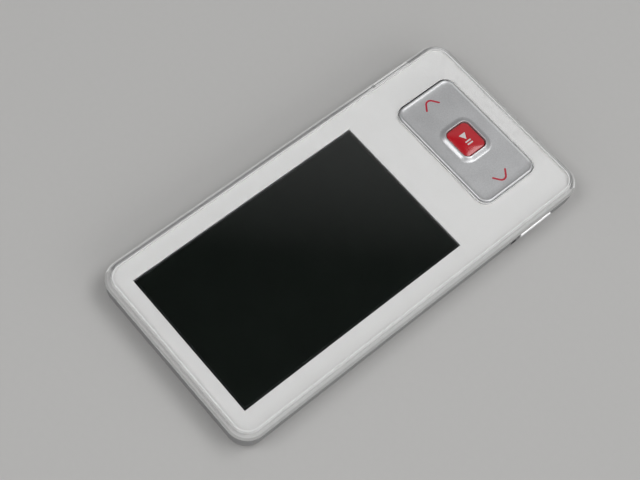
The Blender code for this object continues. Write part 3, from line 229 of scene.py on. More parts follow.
class Wire:
    """A shader socket that Python's operators work on."""

    def __init__(self, tree, socket=None):
        self.tree = tree
        self.socket = socket

    def feed(self, socket, value):
        if isinstance(value, Wire):
            self.tree.links.new(value.socket, socket)
        else:
            socket.default_value = value

    def node(self, kind, settings, values, output=0):
        """Adds a node: its settings first, then what goes into its sockets."""
        made = self.tree.nodes.new(kind)
        for name, setting in settings.items():
            setattr(made, name, setting)
        for key, value in values.items():
            self.feed(made.inputs[key], value)
        return Wire(self.tree, made.outputs[output])

    def maths(self, operation, *values):
        return self.node("ShaderNodeMath", {"operation": operation}, dict(enumerate(values)))

    def __add__(self, other):
        return self.maths("ADD", self, other)

    def __radd__(self, other):
        return self.maths("ADD", other, self)

    def __sub__(self, other):
        return self.maths("SUBTRACT", self, other)

    def __rsub__(self, other):
        return self.maths("SUBTRACT", other, self)

    def __mul__(self, other):
        return self.maths("MULTIPLY", self, other)

    def __rmul__(self, other):
        return self.maths("MULTIPLY", other, self)

    def __abs__(self):
        return self.maths("ABSOLUTE", self)

    def above(self, edge):
        return self.maths("GREATER_THAN", self, edge)

    def most(self, other):
        return self.maths("MAXIMUM", self, other)

    def from_to(self, low, high, start, end):
        """Stretches low..high to start..end and stops there."""
        values = {"Value": self, "From Min": low, "From Max": high, "To Min": start, "To Max": end}
        return self.node("ShaderNodeMapRange", {"clamp": True}, values)

    def mix(self, first, second):
        """Colour between two others, by this value."""
        values = {0: self, 6: first, 7: second}
        return self.node("ShaderNodeMix", {"data_type": "RGBA"}, values, 2)

    def parts(self):
        """The three numbers of a vector."""
        split = self.node("ShaderNodeSeparateXYZ", {}, {"Vector": self})
        return [Wire(self.tree, output) for output in split.socket.node.outputs]


def light_room():
    """Even surroundings with a dark panel overhead.

    The right and near walls are brighter than the rest, the left wall and the far end dimmer.
    """
    room_light = 0.23
    panel_way = (-0.27, 0.32, 0.908)
    panel_light = 0.01
    panel_edge_light = 0.36
    right_wall_light = 1.2
    near_wall_light = 0.7
    far_end_share = 0.3
    left_wall_share = 0.4
    world = bpy.data.worlds.new("room")
    world.use_nodes = True
    start = Wire(world.node_tree)
    sideways, onward, upward = start.node("ShaderNodeTexCoord", {}, {}, "Generated").parts()
    panel = sideways * panel_way[0] + onward * panel_way[1] + upward * panel_way[2]
    panel_edge = (onward - sideways).from_to(0.62, 0.80, 0.0, panel_edge_light)
    far_end = onward.from_to(0.7, 0.95, 1.0, far_end_share)
    left_wall = sideways.from_to(-0.5, -0.8, 1.0, left_wall_share)
    ceiling = panel.from_to(0.985, 0.95, panel_light, room_light).most(panel_edge)
    even = ceiling * far_end * left_wall
    right_wall = sideways.from_to(0.55, 0.75, 0.0, right_wall_light) * upward.from_to(0.75, 0.55, 0.0, 1.0)
    near_wall = onward.from_to(-0.65, -0.8, 0.0, near_wall_light) * upward.from_to(0.6, 0.45, 0.0, 1.0)
    light = even.most(right_wall).most(near_wall)
    start.feed(world.node_tree.nodes["Background"].inputs["Color"], light)
    bpy.context.scene.world = world


class Finish:
    """One material: its surface shader and the patterns that vary it."""

    def __init__(self, name, colour, roughness, metallic=0.0):
        self.material = bpy.data.materials.new(name)
        self.material.use_nodes = True
        self.tree = self.material.node_tree
        self.surface = self.tree.nodes["Principled BSDF"]
        self.output = self.tree.nodes["Material Output"]
        self.start = Wire(self.tree)
        self.colour = tuple(colour) + (1.0,)
        self.place = self.start.node("ShaderNodeTexCoord", {}, {}, "Object")
        self.set("Base Color", self.colour)
        self.set("Roughness", roughness)
        self.set("Metallic", metallic)

    def set(self, socket, value):
        self.start.feed(self.surface.inputs[socket], value)

    def noise(self, grain, detail=2.0, place=None):
        """Soft noise whose grains are about that many millimetres across."""
        values = {"Vector": place or self.place, "Scale": 1.0 / (grain * MM), "Detail": detail}
        return self.start.node("ShaderNodeTexNoise", {}, values, "Fac")

    def stretched(self, x, y, z):
        """The place with each axis drawn out by a factor, for brushed and rolled patterns."""
        values = {"Vector": self.place, "Scale": (1 / x, 1 / y, 1 / z)}
        return self.start.node("ShaderNodeMapping", {}, values)

    def axes(self):
        return [part * (1.0 / MM) for part in self.place.parts()]

    def shade(self, lightness):
        """The finish's own colour, made lighter or darker."""
        return tuple(min(1.0, part * lightness) for part in self.colour[:3]) + (1.0,)

    def mottle(self, pattern, darkest, lightest):
        self.set("Base Color", pattern.mix(self.shade(darkest), self.shade(lightest)))

    def rough(self, pattern, smoothest, roughest):
        self.set("Roughness", pattern.from_to(0.3, 0.7, smoothest, roughest))

    def bump(self, pattern, depth):
        """Relief of that many millimetres."""
        values = {"Height": pattern, "Distance": depth * MM, "Strength": 1.0}
        self.set("Normal", self.start.node("ShaderNodeBump", {}, values))


def clear_acrylic():
    finish = Finish("clear_acrylic", (0.975, 0.975, 0.975), 0.02)
    finish.set("Transmission Weight", 1.0)
    finish.set("IOR", 1.49)
    smudge = finish.noise(9.0, 4.0)
    finish.rough(smudge, 0.012, 0.04)
    lamp_ray = finish.start.node("ShaderNodeLightPath", {}, {}, "Is Shadow Ray")
    see_through = finish.start.node("ShaderNodeBsdfTransparent", {}, {"Color": (0.935, 0.935, 0.935, 1.0)})
    solid = Wire(finish.tree, finish.surface.outputs[0])
    mixed = finish.start.node("ShaderNodeMixShader", {}, {0: lamp_ray, 1: solid, 2: see_through})
    finish.start.feed(finish.output.inputs["Surface"], mixed)
    return finish.material


def white_plastic():
    finish = Finish("white_plastic", (0.66, 0.66, 0.655), 0.32)
    cloud = finish.noise(14.0, 3.0)
    finish.mottle(cloud, 0.985, 1.015)
    peel = finish.noise(0.35)
    finish.rough(peel, 0.28, 0.36)
    finish.bump(peel, 0.0015)
    return finish.material


def satin_silver():
    finish = Finish("satin_silver", (0.67, 0.675, 0.685), 0.36, 0.6)
    flake = finish.noise(0.2, 4.0)
    cloud = finish.noise(5.0, 3.0)
    finish.mottle(flake * 0.8 + cloud * 0.2, 0.68, 1.32)
    finish.rough(cloud, 0.33, 0.39)
    finish.bump(flake, 0.0008)
    return finish.material


def grey_paint():
    """Metallic paint, with painted shade: nearly black in the screws' recesses."""
    finish = Finish("grey_paint", (0.27, 0.27, 0.275), 0.4, 0.35)
    flake = finish.noise(0.08)
    rub = finish.noise(7.0, 5.0)
    paint = (flake * 0.6 + rub * 0.4).mix(finish.shade(0.86), finish.shade(1.14))
    along, height = finish.axes()[1:]
    beside = along - SCREW_Y
    over = height - SCREW_Z
    recess = SCREW_RECESS + SCREW_RECESS_MARGIN
    # Painted shade: the colour goes nearly black inside the screws' recesses.
    recess_painted_shade = (recess ** 2 - (beside * beside + over * over)).above(0.0)
    finish.set("Base Color", recess_painted_shade.mix(paint, (0.03, 0.03, 0.03, 1.0)))
    finish.rough(rub, 0.36, 0.46)
    finish.bump(flake, 0.0015)
    return finish.material


def bonding_film_with_painted_light():
    """The film that holds the clear rim on the tray, with painted light and shade in its colour.

    Along the near edges it is grey, and darker outwards: inwards it is painted paler, painted light, and
    outwards it keeps its own grey. Along the far edges it is dark, painted shade, with a pale outer line that
    is a painted highlight, and it is lighter at the top end, a painted highlight too. Over the left bar most of
    it is bright, a painted reflection of the bar, and beside the bar a painted highlight strip fades along the
    case.
    """
    finish = Finish("bonding_film_with_painted_light", (0.39, 0.39, 0.385), 0.6)
    across, along = finish.axes()[:2]
    near_half = (across - along * 0.5).above(0.0)
    past_side = (abs(across) - (CASE_HALF_WIDTH - CASE_CORNER)).most(0.0)
    past_end = (abs(along) - (CASE_HALF_LENGTH - CASE_CORNER)).most(0.0)
    reach = finish.start.maths("SQRT", past_side * past_side + past_end * past_end)
    outer = reach.above(CASE_CORNER - BOND_LINE)
    top_end_highlight_zone = (TOP_END_HIGHLIGHT_HALF_WIDTH - abs(across)).above(0.0) * along.above(0.0)
    wetting = finish.noise(3.0, 4.0)
    own_grey = wetting.mix(finish.shade(0.95), finish.shade(1.05))
    # Painted light: on the near half the film is paler than its own grey inside the outer band.
    near = outer.mix((0.56, 0.56, 0.555, 1.0), own_grey)
    # Painted shade and highlights on the far half: dark inwards, a pale outer line, and a bright strip fading
    # along the case.
    inner = (CASE_CORNER - BOND_FAR_LINE - reach).above(0.0)
    highlight_strip_fading = along.from_to(*HIGHLIGHT_STRIP_FADE, 0.0, 1.0) * (HIGHLIGHT_STRIP_FADE[1] - along).above(0.0)
    painted_highlight_strip = highlight_strip_fading.mix((0.46, 0.46, 0.46, 1.0), (0.92, 0.92, 0.915, 1.0))
    far = outer.mix(inner.mix(painted_highlight_strip, (0.24, 0.24, 0.242, 1.0)), (0.80, 0.80, 0.795, 1.0))
    # Painted reflection of the left bar: most of the film over it is bright.
    bar_reflection_zone = (BAR_HALF_LENGTH + BAR_REFLECTION_ROOM - abs(along - BAR_MIDDLE)).above(0.0)
    far = bar_reflection_zone.mix(far, inner.mix((0.98, 0.98, 0.975, 1.0), (0.34, 0.34, 0.34, 1.0)))
    # Painted highlight: the top end is lighter, palest in its outer band.
    top = outer.mix((0.48, 0.48, 0.475, 1.0), (0.84, 0.84, 0.835, 1.0))
    finish.set("Base Color", near_half.mix(top_end_highlight_zone.mix(far, top), near))
    finish.rough(wetting, 0.5, 0.7)
    return finish.material


def border_white():
    """The face's raised border: on top a white a little lighter than the face's, a painted highlight along the
    face's edge, and a lighter white still down its sides, painted light.
    """
    finish = Finish("border_white", (0.86, 0.86, 0.855), 0.4)
    cloud = finish.noise(14.0, 3.0)
    sides_painted_light = cloud.mix(finish.shade(0.985), finish.shade(1.015))
    # Painted light: the top is lighter than the face's white, and the sides lighter still.
    top_painted_highlight = finish.axes()[2].above(BORDER_TOP - BORDER_FACE_DEPTH)
    finish.set("Base Color", top_painted_highlight.mix(sides_painted_light, (0.76, 0.76, 0.755, 1.0)))
    finish.rough(cloud, 0.36, 0.44)
    return finish.material


def chrome():
    finish = Finish("chrome", (0.80, 0.805, 0.81), 0.07, 1.0)
    rub = finish.noise(2.5, 5.0)
    finish.mottle(rub, 0.96, 1.03)
    finish.rough(rub, 0.05, 0.11)
    return finish.material


def red_gloss():
    finish = Finish("red_gloss", (0.57, 0.010, 0.020), 0.22)
    depth = finish.noise(1.6, 3.0)
    finish.mottle(depth, 0.94, 1.06)
    finish.rough(depth, 0.2, 0.26)
    finish.set("Coat Weight", 1.0)
    finish.set("Coat Roughness", 0.11)
    return finish.material


def printed(name, colour):
    """Screen-printed ink, a little uneven."""
    finish = Finish(name, colour, 0.35)
    patch = finish.noise(0.25, 3.0)
    finish.mottle(patch, 0.93, 1.05)
    finish.rough(patch, 0.3, 0.42)
    return finish.material


def screen_glass():
    """Black glass: the border is a little less black than the picture area, with a hairline between."""
    finish = Finish("screen_glass", (0.0045, 0.0062, 0.0050), 0.06)
    across, along = finish.axes()[:2]
    past_side = abs(across) - PICTURE_HALF_WIDTH
    past_end = abs(along - SCREEN_MIDDLE) - PICTURE_HALF_LENGTH
    past = past_side.most(past_end)
    border = past.above(0.0)
    line = border - past.above(PICTURE_HAIRLINE)
    haze = finish.noise(18.0, 2.0).mix(finish.shade(0.85), finish.shade(1.15))
    framed = border.mix(haze, (0.0090, 0.0100, 0.0100, 1.0))
    finish.set("Base Color", line.mix(framed, (0.022, 0.024, 0.024, 1.0)))
    finish.rough(finish.noise(6.0, 3.0), 0.05, 0.08)
    finish.set("IOR", 1.5)
    return finish.material


def steel():
    finish = Finish("steel", (0.56, 0.56, 0.55), 0.3, 1.0)
    brush = finish.noise(0.05, 3.0, finish.stretched(1.0, 20.0, 1.0))
    finish.mottle(brush, 0.85, 1.12)
    finish.rough(brush, 0.24, 0.38)
    return finish.material


def circuit_board():
    """Green solder mask over copper runs."""
    finish = Finish("circuit_board", (0.02, 0.11, 0.05), 0.38)
    runs = finish.noise(1.2, 0.0, finish.stretched(1.0, 6.0, 1.0)).above(0.54)
    cross_runs = finish.noise(1.2, 0.0, finish.stretched(6.0, 1.0, 1.0)).above(0.58)
    copper = runs.most(cross_runs)
    finish.mottle(copper, 0.85, 1.5)
    finish.bump(copper, 0.012)
    finish.rough(finish.noise(0.4), 0.32, 0.44)
    return finish.material


def chip_plastic():
    finish = Finish("chip_plastic", (0.02, 0.02, 0.022), 0.55)
    grain = finish.noise(0.08, 3.0)
    finish.mottle(grain, 0.8, 1.3)
    finish.rough(grain, 0.48, 0.62)
    finish.bump(grain, 0.003)
    return finish.material


def silicone():
    finish = Finish("silicone", (0.30, 0.30, 0.31), 0.65)
    dust = finish.noise(0.3, 4.0)
    finish.mottle(dust, 0.94, 1.08)
    finish.rough(dust, 0.6, 0.72)
    finish.bump(dust, 0.002)
    return finish.material


def battery_foil():
    finish = Finish("battery_foil", (0.62, 0.63, 0.64), 0.3, 1.0)
    crease = finish.noise(4.0, 5.0)
    finish.mottle(crease, 0.92, 1.06)
    finish.rough(crease, 0.24, 0.4)
    finish.bump(crease, 0.03)
    return finish.material


def amber_film():
    """Ribbon with copper lines along it."""
    finish = Finish("amber_film", (0.36, 0.16, 0.03), 0.25)
    across = finish.axes()[0]
    copper_pitch = 0.5
    line = finish.start.maths("SINE", across * (2 * math.pi / copper_pitch)).above(0.0)
    finish.mottle(line, 0.8, 1.3)
    finish.rough(finish.noise(0.8), 0.2, 0.3)
    return finish.material


def insulation(name, colour):
    finish = Finish(name, colour, 0.45)
    scuff = finish.noise(0.5, 4.0)
    finish.mottle(scuff, 0.9, 1.12)
    finish.rough(scuff, 0.4, 0.55)
    return finish.material


def floor_paper():
    finish = Finish("floor_paper", (0.60, 0.595, 0.585), 0.85)
    fibre = finish.noise(1.5, 5.0)
    finish.mottle(fibre, 0.985, 1.015)
    return finish.material


finishes = {
    "clear_acrylic": clear_acrylic(),
    "white_plastic": white_plastic(),
    "satin_silver": satin_silver(),
    "grey_paint": grey_paint(),
    "chrome": chrome(),
    "red_gloss": red_gloss(),
    "screen_glass": screen_glass(),
    "steel": steel(),
    "circuit_board": circuit_board(),
    "chip_plastic": chip_plastic(),
    "silicone": silicone(),
    "battery_foil": battery_foil(),
    "amber_film": amber_film(),
    "red_insulation": insulation("red_insulation", (0.50, 0.02, 0.02)),
    "black_insulation": insulation("black_insulation", (0.02, 0.02, 0.022)),
}
white_ink = printed("white_ink", (0.74, 0.72, 0.71))
red_ink = printed("red_ink", (0.52, 0.018, 0.045))


def start(name):
    """An empty mesh at the origin, open for editing."""
    bpy.ops.object.select_all(action="DESELECT")
    bpy.ops.mesh.primitive_plane_add(size=1.0)
    piece = bpy.context.object
    piece.name = name
    bpy.ops.object.mode_set(mode="EDIT")
    bpy.ops.mesh.delete(type="VERT")
    return piece


def outline(section, height):
    """A rounded rectangle lying level, kept as a vertex group."""
    half_width, half_length, corner = section[:3]
    at = (0.0, 0.0, height)
    bpy.ops.mesh.select_all(action="DESELECT")
    bpy.ops.mesh.primitive_plane_add(size=2.0, location=at)
    bpy.ops.transform.resize(value=(half_width, half_length, 1.0), center_override=at)
    bpy.ops.mesh.bevel(affect="VERTICES", offset=corner, segments=CORNER_STEPS)
    bpy.ops.object.vertex_group_assign_new()
    bpy.ops.mesh.delete(type="ONLY_FACE")


def pick_groups(piece, *numbers):
    bpy.ops.mesh.select_all(action="DESELECT")
    for number in numbers:
        piece.vertex_groups.active_index = number
        bpy.ops.object.vertex_group_select()


def lofted(name, sections, middle=(0.0, KEY_MIDDLE), is_ring=False):
    """A skin over rounded rectangles: a ring joins the last to the first, anything else is capped.

    The outlines are stacked a millimetre apart while they are joined, and then go to their own places.
    """
    piece = start(name)
    for number, section in enumerate(sections):
        outline(section, number)
    last = len(sections) - 1
    for number in range(last):
        pick_groups(piece, number, number + 1)
        bpy.ops.mesh.bridge_edge_loops()
    if is_ring:
        pick_groups(piece, last, 0)
        bpy.ops.mesh.bridge_edge_loops()
    else:
        for number in (0, last):
            pick_groups(piece, number)
            bpy.ops.mesh.edge_face_add()
    for number, section in enumerate(sections):
        across, along = section[4] if len(section) > 4 else middle
        pick_groups(piece, number)
        bpy.ops.transform.translate(value=(across, along, section[3] - number))
    bpy.ops.mesh.select_all(action="SELECT")
    bpy.ops.mesh.normals_make_consistent(inside=False)
    bpy.ops.object.mode_set(mode="OBJECT")
    piece.vertex_groups.clear()
    return piece


def eased(profile, radii):
    """A profile of (inset, height) points with each inner corner rounded off."""
    points = []
    corners = [Vector(point) for point in profile]
    for before, corner, after, radius in zip(corners, corners[1:], corners[2:], radii):
        back = (before - corner).normalized()
        ahead = (after - corner).normalized()
        half_angle = back.angle(ahead) / 2
        reach = radius / math.tan(half_angle)
        centre = corner + (back + ahead).normalized() * (radius / math.sin(half_angle))
        first = corner + back * reach - centre
        last = corner + ahead * reach - centre
        for step in range(EDGE_STEPS + 1):
            spoke = first.lerp(last, step / EDGE_STEPS).normalized() * radius
            points.append(tuple(centre + spoke))
    return points


def inset_sections(base, points):
    """Rounded rectangles set in from a base (half width, half length, corner), each at its height."""
    width, length, corner = base
    return [
        (width - inset, length - inset, max(corner - inset, LEAST_CORNER), height)
        for inset, height in points
    ]


def active(piece):
    bpy.ops.object.select_all(action="DESELECT")
    piece.select_set(True)
    bpy.context.view_layer.objects.active = piece


def apply_modifier(piece, name, kind, **settings):
    active(piece)
    modifier = piece.modifiers.new(name, kind)
    for setting, value in settings.items():
        setattr(modifier, setting, value)
    bpy.ops.object.modifier_apply(modifier=modifier.name)


def carve(piece, cutter, operation="DIFFERENCE"):
    apply_modifier(piece, "carve", "BOOLEAN", object=cutter, operation=operation, solver="EXACT")
    bpy.data.objects.remove(cutter)


def smooth(piece):
    active(piece)
    bpy.ops.object.shade_smooth_by_angle(angle=SMOOTH_ANGLE)
    apply_modifier(piece, "weigh", "WEIGHTED_NORMAL", keep_sharp=True)


def dress(piece, finish, body, slot, *stands_for):
    """Brings a piece from millimetres to metres and gives it its finish and the body that it rides on."""
    active(piece)
    piece.scale = (MM, MM, MM)
    bpy.ops.object.transform_apply(location=True, rotation=True, scale=True)
    piece.data.materials.clear()
    piece.data.materials.append(finish)
    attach(piece, body)
    if stands_for:
        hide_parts(*stands_for)


def block(name, low, high):
    """A box between two corners."""
    bpy.ops.object.select_all(action="DESELECT")
    middle = [(a + b) / 2 for a, b in zip(low, high)]
    size = [b - a for a, b in zip(low, high)]
    bpy.ops.mesh.primitive_cube_add(size=1.0, location=middle, scale=size)
    piece = bpy.context.object
    piece.name = name
    bpy.ops.object.transform_apply(location=True, rotation=True, scale=True)
    return piece


def rod(name, radius, length, middle, along, steps=48):
    """A cylinder along one axis."""
    quarter = math.pi / 2
    turns = {"X": (0.0, quarter, 0.0), "Y": (quarter, 0.0, 0.0), "Z": (0.0, 0.0, -quarter)}
    bpy.ops.object.select_all(action="DESELECT")
    bpy.ops.mesh.primitive_cylinder_add(
        vertices=steps, radius=radius, depth=length, location=middle, rotation=turns[along]
    )
    piece = bpy.context.object
    piece.name = name
    bpy.ops.object.transform_apply(location=True, rotation=True, scale=True)
    return piece


def pick_edges(piece, test):
    """Selects the edges whose two ends pass a test. The piece is open for editing."""
    mesh = bmesh.from_edit_mesh(piece.data)
    bpy.ops.mesh.select_all(action="DESELECT")
    bpy.ops.mesh.select_mode(type="EDGE")
    for edge in mesh.edges:
        edge.select_set(test(*[vert.co for vert in edge.verts]))
    bmesh.update_edit_mesh(piece.data)


def pick_corners(piece):
    """Selects the outline points of a flat shape where only two edges meet."""
    mesh = bmesh.from_edit_mesh(piece.data)
    bpy.ops.mesh.select_all(action="DESELECT")
    bpy.ops.mesh.select_mode(type="VERT")
    for vert in mesh.verts:
        vert.select_set(len(vert.link_edges) == 2)
    bmesh.update_edit_mesh(piece.data)


def pick_faces(piece, test):
    """Selects the faces whose middle and normal pass a test. The piece is open for editing."""
    mesh = bmesh.from_edit_mesh(piece.data)
    bpy.ops.mesh.select_all(action="DESELECT")
    bpy.ops.mesh.select_mode(type="FACE")
    for face in mesh.faces:
        face.select_set(test(face.calc_center_median(), face.normal))
    bmesh.update_edit_mesh(piece.data)


def clear_cover():
    """A thick clear plate, bevelled twice round its edge and open for the keypad, over the white face."""
    far_in = 5.0
    rim_rounds = (0.06, 0.04, 0.05, 0.12, 0.4, 0.25)
    mouth_rounds = (0.05, 0.05, 0.03)
    rim = eased(
        (
            (far_in, COVER_UNDER),
            (COVER_POCKET_INSET, COVER_UNDER),
            (COVER_POCKET_INSET, COVER_RIM_FOOT),
            (0.0, COVER_RIM_FOOT),
            COVER_LOWER_BEVEL,
            COVER_BEVEL_BREAK,
            COVER_UPPER_BEVEL,
            (far_in, COVER_TOP),
        ),
        rim_rounds,
    )
    mouth = eased(
        (
            (-far_in, COVER_TOP),
            (-KEY_OPENING_FLARE, COVER_TOP),
            (0.0, COVER_TOP - KEY_OPENING_FLARE),
            (0.0, COVER_UNDER),
            (-far_in, COVER_UNDER),
        ),
        mouth_rounds,
    )
    sections = [section + ((0.0, 0.0),) for section in inset_sections(CASE_OUTLINE, rim)]
    sections += inset_sections(KEY_OPENING, mouth)
    cover = lofted("clear_cover", sections, is_ring=True)
    smooth(cover)
    dress(cover, finishes["clear_acrylic"], "case", "clear_acrylic", "front_cover")


def edge_ring(name, finish, slot, outer, inner, foot, top, rounding):
    """A ring that follows the case's outline between two insets, with its upper edges rounded."""
    middle = (outer + inner) / 2
    profile = (
        (middle, foot),
        (outer, foot),
        (outer, top),
        (inner, top),
        (inner, foot),
        (middle, foot),
    )
    points = eased(profile, (RING_FOOT_ROUND, rounding, rounding, RING_FOOT_ROUND))
    sections = inset_sections(CASE_OUTLINE, points)
    ring = lofted(name, sections, middle=(0.0, 0.0), is_ring=True)
    smooth(ring)
    dress(ring, finish, "case", slot)


def back_shell():
    """A tray with a rounded foot: notches for the side bars, screw recesses and socket mouths."""
    width = CASE_HALF_WIDTH - BACK_INSET
    length = CASE_HALF_LENGTH - BACK_INSET
    corner = CASE_CORNER - BACK_INSET
    far_in = 9.0
    lip_rounds = (0.1, 0.08)
    inner_round = BACK_ROUND - BACK_WALL
    wall = eased(
        (
            (far_in, 0.0),
            (0.0, 0.0),
            (0.0, BACK_TOP),
            (BACK_WALL, BACK_TOP),
            (BACK_WALL, BACK_FLOOR),
            (far_in, BACK_FLOOR),
        ),
        (BACK_ROUND, *lip_rounds, inner_round),
    )
    shell = lofted("back_shell", inset_sections((width, length, corner), wall), middle=(0.0, 0.0))
    room = SOCKET_CLEARANCE
    for side in (-1, 1):
        notch_low = (width - CUT_PAST, BAR_MIDDLE - BAR_HALF_LENGTH - room, BAR_FOOT - room)
        notch_high = (width + CUT_PAST, BAR_MIDDLE + BAR_HALF_LENGTH + room, BACK_TOP + CUT_PAST)
        xs = sorted((side * notch_low[0], side * notch_high[0]))
        carve(shell, block("bar_notch", (xs[0],) + notch_low[1:], (xs[1],) + notch_high[1:]))
        head_middle = (side * (SCREW_SEAT + CUT_PAST / 2), SCREW_Y, SCREW_Z)
        carve(shell, rod("screw_recess", SCREW_RECESS, CUT_PAST, head_middle, "X"))
        way_middle = (side * SCREW_SEAT, SCREW_Y, SCREW_Z)
        carve(shell, rod("screw_way", SCREW_SHANK + SCREW_SHANK_ROOM, 2 * CUT_PAST, way_middle, "X"))
    jack_middle = (JACK_X, SOCKET_FACE, JACK_AXIS)
    carve(shell, rod("jack_mouth", JACK_COLLAR + room, 4 * CUT_PAST, jack_middle, "Y"))
    carve(shell, usb_plug("usb_mouth", USB_HALF_WIDTH + room, SOCKET_FOOT - room, USB_HEIGHT + 2 * room))
    apply_modifier(
        shell, "soft_edges", "BEVEL", width=BACK_SOFT_EDGE, segments=2, limit_method="ANGLE",
        angle_limit=math.radians(50), use_clamp_overlap=True,
    )
    smooth(shell)
    dress(shell, finishes["grey_paint"], "case", "grey_paint", "rear_cover")


def usb_plug(name, half_width, foot, height):
    """A block through the end wall with its two lower long edges cut off."""
    low = (-half_width, SOCKET_FACE - 2 * CUT_PAST, foot)
    high = (half_width, SOCKET_FACE + 2 * CUT_PAST, foot + height)
    plug = block(name, low, high)
    bpy.ops.object.mode_set(mode="EDIT")
    pick_edges(plug, lambda a, b: max(a.z, b.z) < foot + 0.01 and abs(a.y - b.y) > 1.0)
    bpy.ops.mesh.bevel(offset=USB_CHAMFER, segments=1)
    bpy.ops.object.mode_set(mode="OBJECT")
    return plug


def lip_height(distance):
    """How far the bead still stands above the dish, that far inside its crest."""
    lip = KEY_LIP - KEY_DISH
    slope_end = KEY_DISH_START - KEY_BEAD
    near_bead = KEY_BEAD_SHARE * lip / (1.0 + (distance / KEY_BEAD_FADE) ** 2)
    slope = (1.0 - KEY_BEAD_SHARE) * lip * (1.0 - distance / slope_end) ** 2
    return near_bead + slope


def quarter_turn(steps):
    """Angles from nothing to a right angle, in equal steps."""
    return [math.pi / 2 * step / steps for step in range(steps + 1)]


def keypad_rocker():
    """A plate with a rolled bead round a shallow dish, and a pillow round the red button."""
    slope_steps = (0.06, 0.12, 0.19, 0.27, 0.36, 0.48, 0.64, 0.85, 1.12, 1.5)
    crown = []
    for turn in quarter_turn(BEAD_STEPS):
        drop = KEY_BEAD_DROP * (1 - math.sin(turn))
        crown.append((KEY_BEAD * (1 - math.cos(turn)), KEY_LIP - drop))
    for distance in slope_steps:
        crown.append((KEY_BEAD + distance, KEY_DISH + lip_height(distance)))
    crown.append((KEY_DISH_START, KEY_DISH))
    flange = eased(
        (
            (-KEY_FLANGE + KEY_UNDERSIDE, KEY_FLANGE_FOOT),
            (-KEY_FLANGE, KEY_FLANGE_FOOT),
            (-KEY_FLANGE, KEY_FLANGE_TOP),
            (0.0, KEY_FLANGE_TOP),
            (0.0, KEY_LIP),
        ),
        (KEY_FLANGE_ROUND, KEY_FLANGE_ROUND, KEY_FLANGE_ROUND),
    )
    pillow = []
    for step in range(PILLOW_STEPS + 1):
        share = step / PILLOW_STEPS
        climb = share ** KEY_PILLOW_POWER
        soft_climb = climb * climb * (3 - 2 * climb)
        rise = KEY_PILLOW_LEAN * climb + (1 - KEY_PILLOW_LEAN) * soft_climb
        out = KEY_PILLOW_SPREAD + (KEY_PILLOW_LAND - KEY_PILLOW_SPREAD) * share
        pillow.append((-out, KEY_DISH + rise * (KEY_PILLOW - KEY_DISH)))
    for turn in quarter_turn(EDGE_STEPS):
        drop = KEY_PILLOW_EDGE * (1 - math.cos(turn))
        pillow.append((KEY_PILLOW_EDGE * (math.sin(turn) - 1), KEY_PILLOW - drop))
    pillow += [(0.0, KEY_LEDGE), (-KEY_LEDGE_WIDTH, KEY_LEDGE), (-KEY_LEDGE_WIDTH, KEY_FLANGE_FOOT)]
    sections = inset_sections(KEY_PLATE, flange + crown) + inset_sections(BUTTON_HOLE, pillow)
    plate = lofted("keypad_rocker", sections, is_ring=True)
    smooth(plate)
    dress(plate, finishes["satin_silver"], "keypad", "satin_silver", "keypad_plate")


def red_button():
    """A cap with a soft domed face, a flange that keeps it under the rocker, and a stem."""
    sections = [
        (*BUTTON_STEM, KEY_FLANGE_FOOT),
        (*BUTTON_STEM, BUTTON_FLANGE_FOOT),
        (*BUTTON_FLANGE, BUTTON_FLANGE_FOOT),
        (*BUTTON_FLANGE, BUTTON_FLANGE_TOP),
        (*BUTTON_CAP, BUTTON_FLANGE_TOP),
        (*BUTTON_CAP, BUTTON_EDGE),
    ]
    dome_steps = (0.01, 0.03, 0.06, 0.11, 0.18, 0.28, 0.42, 0.6, 0.85, 1.2, 1.6, 2.1, 2.7)
    corner_growth = 0.5
    least_flat = 0.02
    width, length, corner = BUTTON_CAP
    for inset in dome_steps:
        rise = (1 - (1 - inset / BUTTON_DOME_REACH) ** 2) ** BUTTON_DOME_POWER
        soft_corner = min(corner + inset * corner_growth, length - inset - least_flat)
        sections.append((width - inset, length - inset, soft_corner, BUTTON_EDGE + BUTTON_DOME * rise))
    button = lofted("red_button", sections)
    smooth(button)
    dress(button, finishes["red_gloss"], "select", "red_gloss", "centre_button")


def play_sign():
    """A play triangle and two pause bars, printed on the red button."""
    sink = 0.12
    corner_round = 0.1
    reach = 0.85
    first_bar = (0.55, 0.93)
    second_bar = (1.33, 1.71)
    triangle_radius = 1.16
    triangle_x = -1.02
    foot = BUTTON_EDGE + BUTTON_DOME - sink
    top = BUTTON_EDGE + BUTTON_DOME + INK_RISE
    near = KEY_MIDDLE - reach
    far = KEY_MIDDLE + reach
    sign = block("play_sign", (first_bar[0], near, foot), (first_bar[1], far, top))
    second = block("pause_bar", (second_bar[0], near, foot), (second_bar[1], far, top))
    middle = (triangle_x, KEY_MIDDLE, (foot + top) / 2)
    triangle = rod("triangle", triangle_radius, top - foot, middle, "Z", steps=3)
    active(sign)
    second.select_set(True)
    triangle.select_set(True)
    bpy.ops.object.join()
    bpy.ops.object.mode_set(mode="EDIT")
    pick_edges(sign, lambda a, b: abs(a.z - b.z) > 0.02)
    bpy.ops.mesh.bevel(offset=corner_round, segments=4)
    bpy.ops.object.mode_set(mode="OBJECT")
    smooth(sign)
    dress(sign, white_ink, "select", "white_plastic")


